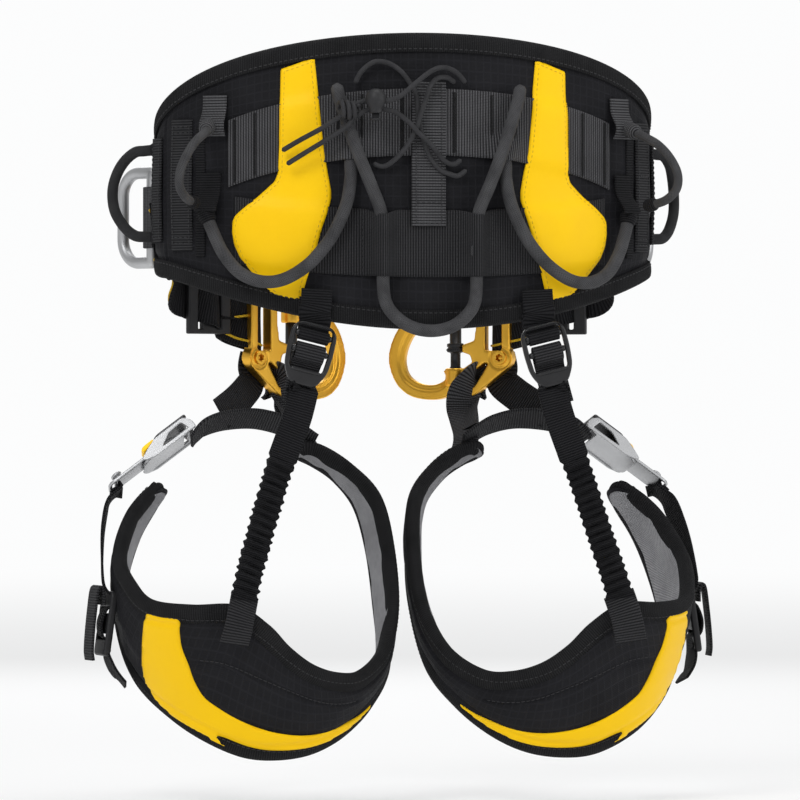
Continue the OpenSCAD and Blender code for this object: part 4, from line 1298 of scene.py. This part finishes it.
for side in ("left", "right"):
    body = "ladder_lock_" + side
    # The tab comes down behind the frame's top, through the window and round the first bar
    tab_path = spline([
        (75.4, -75.2, -72), (76, -76, -82), (77.2, -75.6, -88),
        *lock_run([(24, -6.2), (20, -6.2), (17.4, -3.6), (16.9, 1.2), (14.2, 3.3), (11.0, 2.2),
                   (10.3, -0.4),
                   (11.4, -3.4), (15, -6.0), (21, -8.0), (26, -7.8)]),
        (77, -73.2, -86), (76.4, -72.6, -78)], 8)
    tab = flat_strap("riser_tab_webbing_" + side, tab_path, 20.5, 1.6, (0.97, 0, 0.24), (0.97, 0, 0.24),
                     black_webbing,
                     "belt", side=side)
    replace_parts(tab, "riser_tab_" + side)
    lock_place = place_at(riser_lock, lock_across, lock_up, lock_out, side)
    frame_plate = plate("ladder_lock_frame_" + side, [lock_outline, lock_window], 4.0, 1.2, lock_place,
                        black_metal, body)
    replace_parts(frame_plate, "ladder_lock_" + side)
    for count, y in enumerate((14.2, 3.0)):
        bar_line = evenly(np.array([lock_point(-13.4, y, 0), lock_point(13.4, y, 0)]), 1.5)
        tube("ladder_lock_bar_%d_%s" % (count + 1, side), mirrored(bar_line, side), 2.15, 20, black_metal,
             body)
    lip = [lock_point(x, -10.2, 1.4 + 0.5 * (1 - (x / 11) ** 2)) for x in np.linspace(-11, 11, 15)]
    tube("ladder_lock_lip_" + side, mirrored(lip, side), 1.2, 16, black_metal, body)
    # The riser webbing comes up behind the tongue, over the second bar and down behind itself
    over = spline(lock_run([
        (-24, -3.2), (-14, -4.6), (-4, -4.4), (4, -3.4), (7.4, -1.2), (7.6, 1.6), (5.0, 3.4), (0.6, 3.6),
        (-2.6, 2.2),
        (-4.2, -0.4), (-7.6, -2.6), (-14, -3.0), (-22, -2.4), (-33, -1.2)]), 6)
    flat_strap("riser_webbing_wrap_" + side, over, 19.5, 1.3, lock_across, lock_across, dark_webbing,
               body, side=side)
    riser_path = spline([(85, -79, -139), (90, -80, -158), (98, -80, -180), (105, -81, -200),
                         (116, -85, -235), (126, -91, -268), (131, -96, -290)], 24)
    full = evenly(np.array([*lock_run([(-12, -6.0), (-18, -5.4), (-24, -4.0)]), *riser_path]), 0.55)
    s = length_along(full)
    across, up = cross_ways(full, (1, 0, 0.3), (1, -0.4, 0.4))
    down = full[:, 2]
    gathered = np.clip((-184 - down) / 3, 0, 1) * np.clip((down + 279) / 3, 0, 1)
    gather_pitch = 5.7
    fold = 0.5 + 0.5 * np.sin(s * 2 * np.pi / gather_pitch + 0.6 * np.sin(s * 0.31))
    half = np.where(gathered > 0, 10 - 2.0 * gathered + 1.3 * gathered * fold, 10.0)
    thick = 1.1 + gathered * (1.2 + 2.4 * fold ** 0.8)
    hem = np.exp(-((down + 186) / 3.5) ** 2) * 0.9
    w = np.linspace(-1, 1, 17)
    ripple = s[:, None] * 2 * np.pi / gather_pitch + 1.1 * w[None] * 2.2 + np.sin(s[:, None] * 0.9)
    wobble = gathered[:, None] * 0.9 * np.sin(ripple)
    face = (thick + hem)[:, None] * (1 - 0.25 * gathered[:, None] * w[None] ** 4) + wobble
    sideways = across[:, None] * (w[None, :, None] * half[:, None, None])
    top = full[:, None] + sideways + up[:, None] * face[..., None]
    low = full[:, None] + sideways[:, ::-1] - up[:, None] * (face * 0.9)[:, ::-1, None]
    rings = np.concatenate([top, low], axis=1)
    riser = skin("riser_elastic_" + side, mirrored(rings, side), black_webbing, None)
    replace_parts(riser, "riser_" + side)
    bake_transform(riser)
    foot = spline([(127.6, -92.2, -276), (131, -97, -289), (133.5, -97.6, -300), (135.5, -95.0, -308)], 6)
    flat_strap("riser_foot_tab_" + side, foot, 20.5, 1.8, (1, -0.35, 0.35), (1, -0.35, 0.35),
               dark_webbing, "leg_" + side, side=side)

# ---- Front webbing, its buckles and the side rings
# At each side the load webbing leaves the padding, passes a two-slot adjusting buckle and folds
# round the post of the ventral plate. Coloured piping marks its edges. A steel D turns in a tab.
weld_reach = 0.00002
ring_axis = on_belt([(108, -22.5, 8.5)])[0]
plate_at = np.array([87.0, 83.0, -117.0])
plate_x = np.array([-0.848, 0.530, 0.0])
plate_y = np.array([0.0, 0.0, 1.0])
plate_z = np.array([0.530, 0.848, 0.0])


def buckle_front(x, out):
    """Points along the webbing at the buckle, x towards the front, in mm."""
    return np.array([123.4, 63.7, -73]) + np.array([-0.829, 0.559, -0.30]) * x + np.array([0.559, 0.829,
                                                                                           0]) * out


def plate_point(x, y, z):
    return plate_at + plate_x * x + plate_y * y + plate_z * z


for side in ("left", "right"):
    sign = 1 if side == "right" else -1
    leg = "leg_" + side
    lead = on_belt([(96, -34, 2.2), (104, -37, 2.6)])
    weave = [tuple(buckle_front(x, out)) for x, out in ((-26, 4.4), (-15, 4.2), (-9, 0.2), (-3, -3.8),
                                                        (3, -3.8), (9, 0.2), (15, 4.2), (25, 4.6))]
    path = spline([*lead, (160.5, 29, -40), (152, 43, -49), *weave, (106, 81.5, -85), (92.5, 88.6, -89.5),
                   (86.5, 93.2, -91),
                 (83.6, 92.6, -91), (83.4, 87.0, -91), (88, 82.6, -89), (98, 79.6, -86.5),
                   (108, 75.6, -82.5)], 8)
    webbing_piece = flat_strap("front_webbing_strap_" + side, path, 43.5, 1.9, (0.1, 0.1, 1), (0, 0, 1),
                               black_webbing,
                               None, side=side, pitch=1.4)
    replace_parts(webbing_piece, "front_webbing_" + side)
    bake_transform(webbing_piece)
    even = evenly(path, 1.5)
    across, up = cross_ways(even, (0.1, 0.1, 1), (0, 0, 1))
    for count, edge in enumerate((-17.5, 17.5)):
        line = even + across * edge + up * 1.25
        piping = tube("front_webbing_piping_%d_%s" % (count + 1, side), mirrored(line, side), 0.85, 10,
                      yellow_thread,
                      None, (0, 0, 1))
        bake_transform(piping)

    buckle = nodes["belt_buckle_" + side]
    buckle.data.materials.clear()
    buckle.data.materials.append(black_metal)
    ring = nodes["side_ring_" + side]
    ring.data.materials.clear()
    ring.data.materials.append(silver_metal)
    for piece, width in ((buckle, 0.0011), (ring, 0.0)):
        weld = piece.modifiers.new("weld", "WELD")
        weld.merge_threshold = weld_reach
        if width:
            soften = piece.modifiers.new("rounded_edges", "BEVEL")
            soften.width = width
            soften.segments = 3
            soften.angle_limit = math.radians(40)
    n = np.array([0.809, 0.589, 0])
    fore = np.array([-0.589, 0.809, 0])
    tab_path = spline([*on_belt([(93, -22.5, 2.6), (98, -22.5, 3.0), (102, -22.5, 4.6)]),
                       ring_axis - fore * 4.2 + n * 3.4,
                     ring_axis + n * 5.6, ring_axis + fore * 4.2 + n * 3.4,
                       ring_axis + fore * 5.6 - n * 1.0,
                     *on_belt([(113, -22.5, 3.4), (114.6, -22.5, 2.6)])], 8)
    tab = flat_strap("ring_tab_webbing_" + side, tab_path, 41, 1.7, (0, 0, 1), (0, 0, 1),
                     charcoal_webbing, "belt", side=side)
    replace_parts(tab, "ring_tab_" + side)
    rows = []
    for z in np.linspace(-41, -4, 3):
        rows.append((mirrored(on_belt([(a, z, 4.1) for a in (94, 96, 99)]), side),
                     belt_normal(np.array([94, 96, 99.0])) * (sign, 1, 1)))
    sew("ring_tab_stitches_" + side, rows, grey_thread, "belt")

# ---- Ventral plates, their bolts and gate pins
# Each plate is forged aluminium, anodised: an open ring with a raised outer rim, a post for the
# belt webbing, a slot for a leg strap and an eye with a star-drive bolt. A black screw pin shuts it.
ring_outer = spline([(30, -22), (42, -28), (54, -29), (67, -26), (77, -17), (82, -2), (79, 13), (70, 26),
                     (56, 33), (42, 34), (34, 33)], 8)
ring_inner = spline([(34, 26), (44, 26), (56, 24), (65, 15), (70, 4), (70.5, -5), (67, -13), (58, -18),
                     (48, -18.5), (40, -15), (34, -12)], 8)
gate_x = 34.0


def forged(side):
    """A copy of the plate's solid with its edges rolled over and the ring's inner rim set back."""
    piece = bpy.data.objects.new("ventral_plate_forging_" + side,
                                 nodes["ventral_plate_" + side].data.copy())
    scene.collection.objects.link(piece)
    weld = piece.modifiers.new("weld", "WELD")
    weld.merge_threshold = weld_reach
    roll = piece.modifiers.new("roll", "REMESH")
    roll.mode = "VOXEL"
    roll.voxel_size = 0.0007
    ease = piece.modifiers.new("ease", "SMOOTH")
    ease.factor = 0.5
    ease.iterations = 9
    bpy.context.view_layer.update()
    mesh = bpy.data.meshes.new_from_object(piece.evaluated_get(bpy.context.evaluated_depsgraph_get()))
    bpy.data.objects.remove(piece)
    co = np.empty(len(mesh.vertices) * 3)
    mesh.vertices.foreach_get("co", co)
    co = mirrored(co.reshape(-1, 3) * 1000, side) - plate_at
    x, y, z = co @ plate_x, co @ plate_y, co @ plate_z
    flat = np.stack([x, y], -1)
    near = (x > 38) & (np.abs(z) > 1.5)
    to_out, to_in = np.full(len(x), 99.0), np.full(len(x), 99.0)
    to_out[near] = np.linalg.norm(flat[near][:, None] - ring_outer[None], axis=2).min(1)
    to_in[near] = np.linalg.norm(flat[near][:, None] - ring_inner[None], axis=2).min(1)
    share = to_in / (to_in + to_out)
    step = 1.3 / (1 + np.exp((share - 0.38) / 0.03)) * np.clip((x - 38) / 6, 0, 1)
    z = z - np.sign(z) * np.where(near, step, 0) * np.clip((np.abs(z) - 1.5) / 2, 0, 1)
    hollow = np.exp(-((np.hypot(x, y) - 7.2) / 0.9) ** 2) * 0.7
    z = z - np.sign(z) * hollow * (np.abs(z) > 3)
    moved = plate_at + x[:, None] * plate_x + y[:, None] * plate_y + z[:, None] * plate_z
    moved = mirrored(moved, side) / 1000
    mesh.vertices.foreach_set("co", np.ascontiguousarray(moved, np.float32).ravel())
    mesh.materials.clear()
    for polygon in mesh.polygons:
        polygon.use_smooth = True
    forging = bpy.data.objects.new("ventral_plate_forging_" + side, mesh)
    mesh.name = forging.name
    scene.collection.objects.link(forging)
    mesh.materials.append(gold_metal)
    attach(forging, "leg_" + side)
    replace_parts(forging, "ventral_plate_" + side)


star = [((3.0 if i % 2 else 1.9) * math.cos(i * math.pi / 6),
         (3.0 if i % 2 else 1.9) * math.sin(i * math.pi / 6)) for i in range(12)]
star = rounded(star, 0.7, 4)
head_circle = [(4.8 * math.cos(a), 4.8 * math.sin(a))
               for a in np.linspace(0, 2 * math.pi, 48, endpoint=False)]
for side in ("left", "right"):
    leg = "leg_" + side
    forged(side)
    for face, way in (("back", -1), ("front", 1)):
        place = place_at(plate_point(0, 0, way * 5.4), plate_x, plate_y, plate_z, side)
        head = plate("plate_bolt_head_%s_%s" % (face, side), [head_circle, star], 1.9, 0.45, place,
                     gold_metal, leg)
        if face == "back":
            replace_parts(head, "plate_bolt_" + side)
    core = evenly(np.array([plate_point(0, 0, -4.4), plate_point(0, 0, 4.4)]), 1.0)
    tube("plate_bolt_shank_" + side, mirrored(core, side), 4.2, 32, gold_metal, leg,
         (0, 0, 1))
    profile = [(0.3, -14.4), (3.6, -14.4), (4.05, -13.8), (4.05, -6.6), (3.5, -6.0), (3.5, 3.0),
               (4.0, 3.6), (5.6, 4.0),
               (6.0, 4.5), (6.0, 6.4), (5.3, 6.9), (5.3, 7.3), (6.0, 7.8), (6.0, 9.5), (5.5, 10.0),
               (4.1, 10.4), (4.05, 34.0),
               (3.5, 34.9), (0.3, 34.9)]
    centre = mirrored(plate_point(gate_x, 0, 0), side)
    pin = turned("gate_screw_pin_" + side, centre, profile, black_metal, "gate_" + side,
                 sides=40)
    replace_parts(pin, "gate_pin_" + side)
    ribs = [np.array([centre + (6.05 * math.cos(a), 6.05 * math.sin(a), h) for h in (4.9, 6.1)])
            for a in np.linspace(0, 2 * math.pi, 30, endpoint=False)]
    sew("gate_pin_grip_ribs_" + side, [(r, (r[0] - centre) * (1, 1, 0)) for r in ribs], black_metal,
        "gate_" + side,
        stitch=1.2, gap=0.1, thick=0.3)

# ---- Leg straps and quick buckles
# A ribbed strap joins the pad's inner end to the quick buckle. Two more straps hang both from the
# ventral plate. The buckle is bent sheet with a sprung latch, and its tongue slides in under it.
front_strap_route = [(138, 47.5, -174.5), (134, 48.5, -169.5), (127, 49.5, -164), (112, 55, -160),
                     (92, 59, -159), (74, 58, -163), (62, 55, -169), (52, 52, -176)]
leg_buckle_at = np.array([152.0, 50.0, -184.0])
buckle_x = np.array([68.0, -4.0, -50.0]) / np.linalg.norm([68.0, -4.0, -50.0])
buckle_z = np.array([0.58, 0.35, 0.7])
buckle_z = buckle_z - (buckle_z @ buckle_x) * buckle_x
buckle_z /= np.linalg.norm(buckle_z)
buckle_y = np.cross(buckle_z, buckle_x)


def buckle_point(x, y, z):
    return leg_buckle_at + buckle_x * x + buckle_y * y + buckle_z * z


for side in ("left", "right"):
    leg = "leg_" + side
    strap = flat_strap("leg_front_strap_" + side, spline(front_strap_route, 8), 23, 1.9, (0, 0.84, -0.55),
                       (0, 0.84, -0.55),
                       dark_webbing, leg, side=side)
    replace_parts(strap, "front_strap_" + side)
    inner = spline([(59, 70, -167), (62, 90, -157), plate_point(26, -27, 6.6),
                    plate_point(23.5, -21, 6.8), plate_point(20.5, -13, 5.0),
                  plate_point(19, -9.2, 0), plate_point(20.5, -12.5, -5.0), plate_point(24, -21, -6.8),
                  plate_point(26.5, -27, -6.4), plate_point(27.5, -35, -5.0), (60.5, 84, -160),
                    (59, 72, -167), (57, 62, -173),
                  (54.5, 56, -179)], 8)
    along = length_along(evenly(inner, 1.2))
    middle = along[np.argmin(np.linalg.norm(evenly(inner, 1.2) - plate_point(19, -9.2, 0), axis=1))]
    inner_width = np.interp(np.abs(along - middle), (0, 5, 16, 34, 60), (15, 17, 22.5, 21, 17.5))
    strap = flat_strap("leg_inner_strap_" + side, inner, inner_width, 1.7, plate_x * 0.9 - plate_y * 0.42,
                       (0.92, -0.3, 0.2), charcoal_webbing, leg,
                       side=side, crown=0.5)
    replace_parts(strap, "inner_strap_" + side)
    outer = spline([plate_point(4, 2, 6.6), plate_point(2, -8, 7.0), (88, 89, -133), (95, 81, -141),
                    (104, 71.5, -148.5),
                  (111, 64, -153), (115, 60, -155.5)], 8)
    strap = flat_strap("leg_outer_strap_" + side, outer, 22, 1.8, (0.62, -0.38, 0.55), (0.7, -0.3, 0.6),
                       dark_webbing, leg, side=side)
    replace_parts(strap, "outer_strap_" + side)

    def buckle_plate(name, outlines, thick, edge, z, stuff, body):
        """A flat part of the buckle, z mm over its base."""
        return plate(name + side, outlines, thick, edge,
                     place_at(buckle_point(0, 0, z), buckle_x, buckle_y, buckle_z, side), stuff, body)

    base_outline = rounded([(-22, -15), (14, -15), (20, -10), (20, 10), (14, 15), (-22, 15)], 2.5)
    webbing_slot = rounded([(-18, -11.8), (-14, -11.8), (-14, 11.8), (-18, 11.8)], 1.2)
    flat = buckle_plate("leg_buckle_base_", [base_outline, webbing_slot], 2.2, 0.7, 3.7, silver_metal, leg)
    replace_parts(flat, "leg_buckle_" + side)
    cheek = rounded([(-24, 1.6), (10, 1.6), (18, 3.6), (20, 6.0), (12, 9.8), (4, 12.6), (-20, 12.6),
                     (-24, 8)], 2.0)
    window = rounded([(-19, 4.0), (3, 4.6), (-6, 9.4), (-17, 10.2)], 1.3)
    for count, y in enumerate((-14.6, 14.6)):
        plate("leg_buckle_cheek_%d_%s" % (count + 1, side), [cheek, window], 2.0, 0.6,
              place_at(buckle_point(0, y, 0), buckle_x, buckle_z, -buckle_y, side), silver_metal, leg)
    lid = rounded([(-23, -14.6), (1, -14.6), (4, -11), (4, 11), (1, 14.6), (-23, 14.6)], 2.2)
    buckle_plate("leg_buckle_lid_", [lid], 2.6, 0.9, 12.8, grey_metal, leg)
    latch_outline = rounded([(3.8, -10), (12, -10), (14.5, -7), (14.5, 7), (12, 10), (3.8, 10)], 2.0)
    latch = buckle_plate("buckle_latch_key_", [latch_outline], 3.4, 1.0, 12.7, yellow_nylon,
                         "latch_" + side)
    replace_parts(latch, "buckle_latch_" + side)
    tongue_outline = rounded([(-8, -7), (-4, -10), (44, -10), (48, -7), (48, 7), (44, 10), (-4, 10),
                              (-8, 7)], 2.6)
    catch_hole = rounded([(0, -5), (5, -5), (5, 5), (0, 5)], 1.2)
    end_slot = rounded([(43, -8), (45.5, -8), (45.5, 8), (43, 8)], 0.9)
    tongue = buckle_plate("buckle_tongue_plate_", [tongue_outline, catch_hole, end_slot], 2.3, 0.8, 7,
                          silver_metal,
                          "tongue_" + side)
    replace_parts(tongue, "buckle_tongue_" + side)
    stud = [(0.3, 6.2), (2.6, 6.2), (3.5, 5.9), (4.0, 5.2), (4.0, 4.4), (3.2, 3.9), (2.6, 3.4),
            (2.6, 0.4), (3.6, -0.2)]
    way = mirrored(buckle_z, side)
    turned("buckle_tongue_stud_" + side, mirrored([buckle_point(38, 0, 7)], side)[0], stud, silver_metal,
           "tongue_" + side,
           sides=32, way=way)

# ---- Adjusting straps outside the leg pads
# Webbing runs from the buckle tongue down the outside of each pad, through a two-slot nylon
# buckle, and its doubled end is stitched flat.
keeper_at = np.array([203.9, 8.0, -297.0])
keeper_across = np.array([0.1045, 0.9945, 0.0])
keeper_down = np.array([0.138, -0.0145, -0.990])
keeper_out = np.cross(keeper_down, keeper_across)


def keeper_point(down, across, out):
    return keeper_at + keeper_down * down + keeper_across * across + keeper_out * out


for side in ("left", "right"):
    leg = "leg_" + side
    run = spline([buckle_point(50, 0, 3.0), buckle_point(45, 0, 4.0), buckle_point(42, 0, 2.4),
                  (196, 44, -216), (201, 36, -232),
                (204, 24, -252), (204.5, 14, -270), keeper_point(-16, 0, -1.4), keeper_point(-9, 0, 2.4),
                  keeper_point(0, 0, 4.4),
                keeper_point(8, 0, 2.6), keeper_point(12, 0, -2.2), keeper_point(22, 0, -4.0),
                  (199.5, -2, -329), (193, -6, -338)], 8)
    strap = flat_strap("leg_adjusting_strap_" + side, run, 20, 1.7, (-0.35, 0.94, 0.0), (0.1, 0.99, 0.1),
                       black_webbing, None,
                       side=side)
    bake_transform(strap)
    keeper_outline = rounded([(-22, -11), (-19, -13), (19, -13), (22, -11), (22, 11), (19, 13), (-19, 13),
                              (-22, 11)], 3.0)
    slots = [rounded([(x, -10.2), (x + 4, -10.2), (x + 4, 10.2), (x, 10.2)], 1.3) for x in (-11, 7)]
    keeper = plate("strap_keeper_body_" + side, [keeper_outline] + slots, 5.0, 1.6,
                   place_at(keeper_at, keeper_down, keeper_across, keeper_out, side), black_nylon, leg)
    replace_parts(keeper, "strap_keeper_" + side)
    fold = spline([keeper_point(-12, 0, 5.6), keeper_point(-20, 0, 6.8), keeper_point(-24, 0, 9.0),
                   keeper_point(-21, 0, 11.0),
                 keeper_point(-8, 0, 11.0), keeper_point(8, 0, 10.4), keeper_point(20, 0, 9.4),
                   keeper_point(26, 0, 7.8)], 8)
    flat_strap("leg_adjusting_tail_" + side, fold, 20, 1.7, keeper_across, keeper_across, dark_webbing,
               leg, side=side)
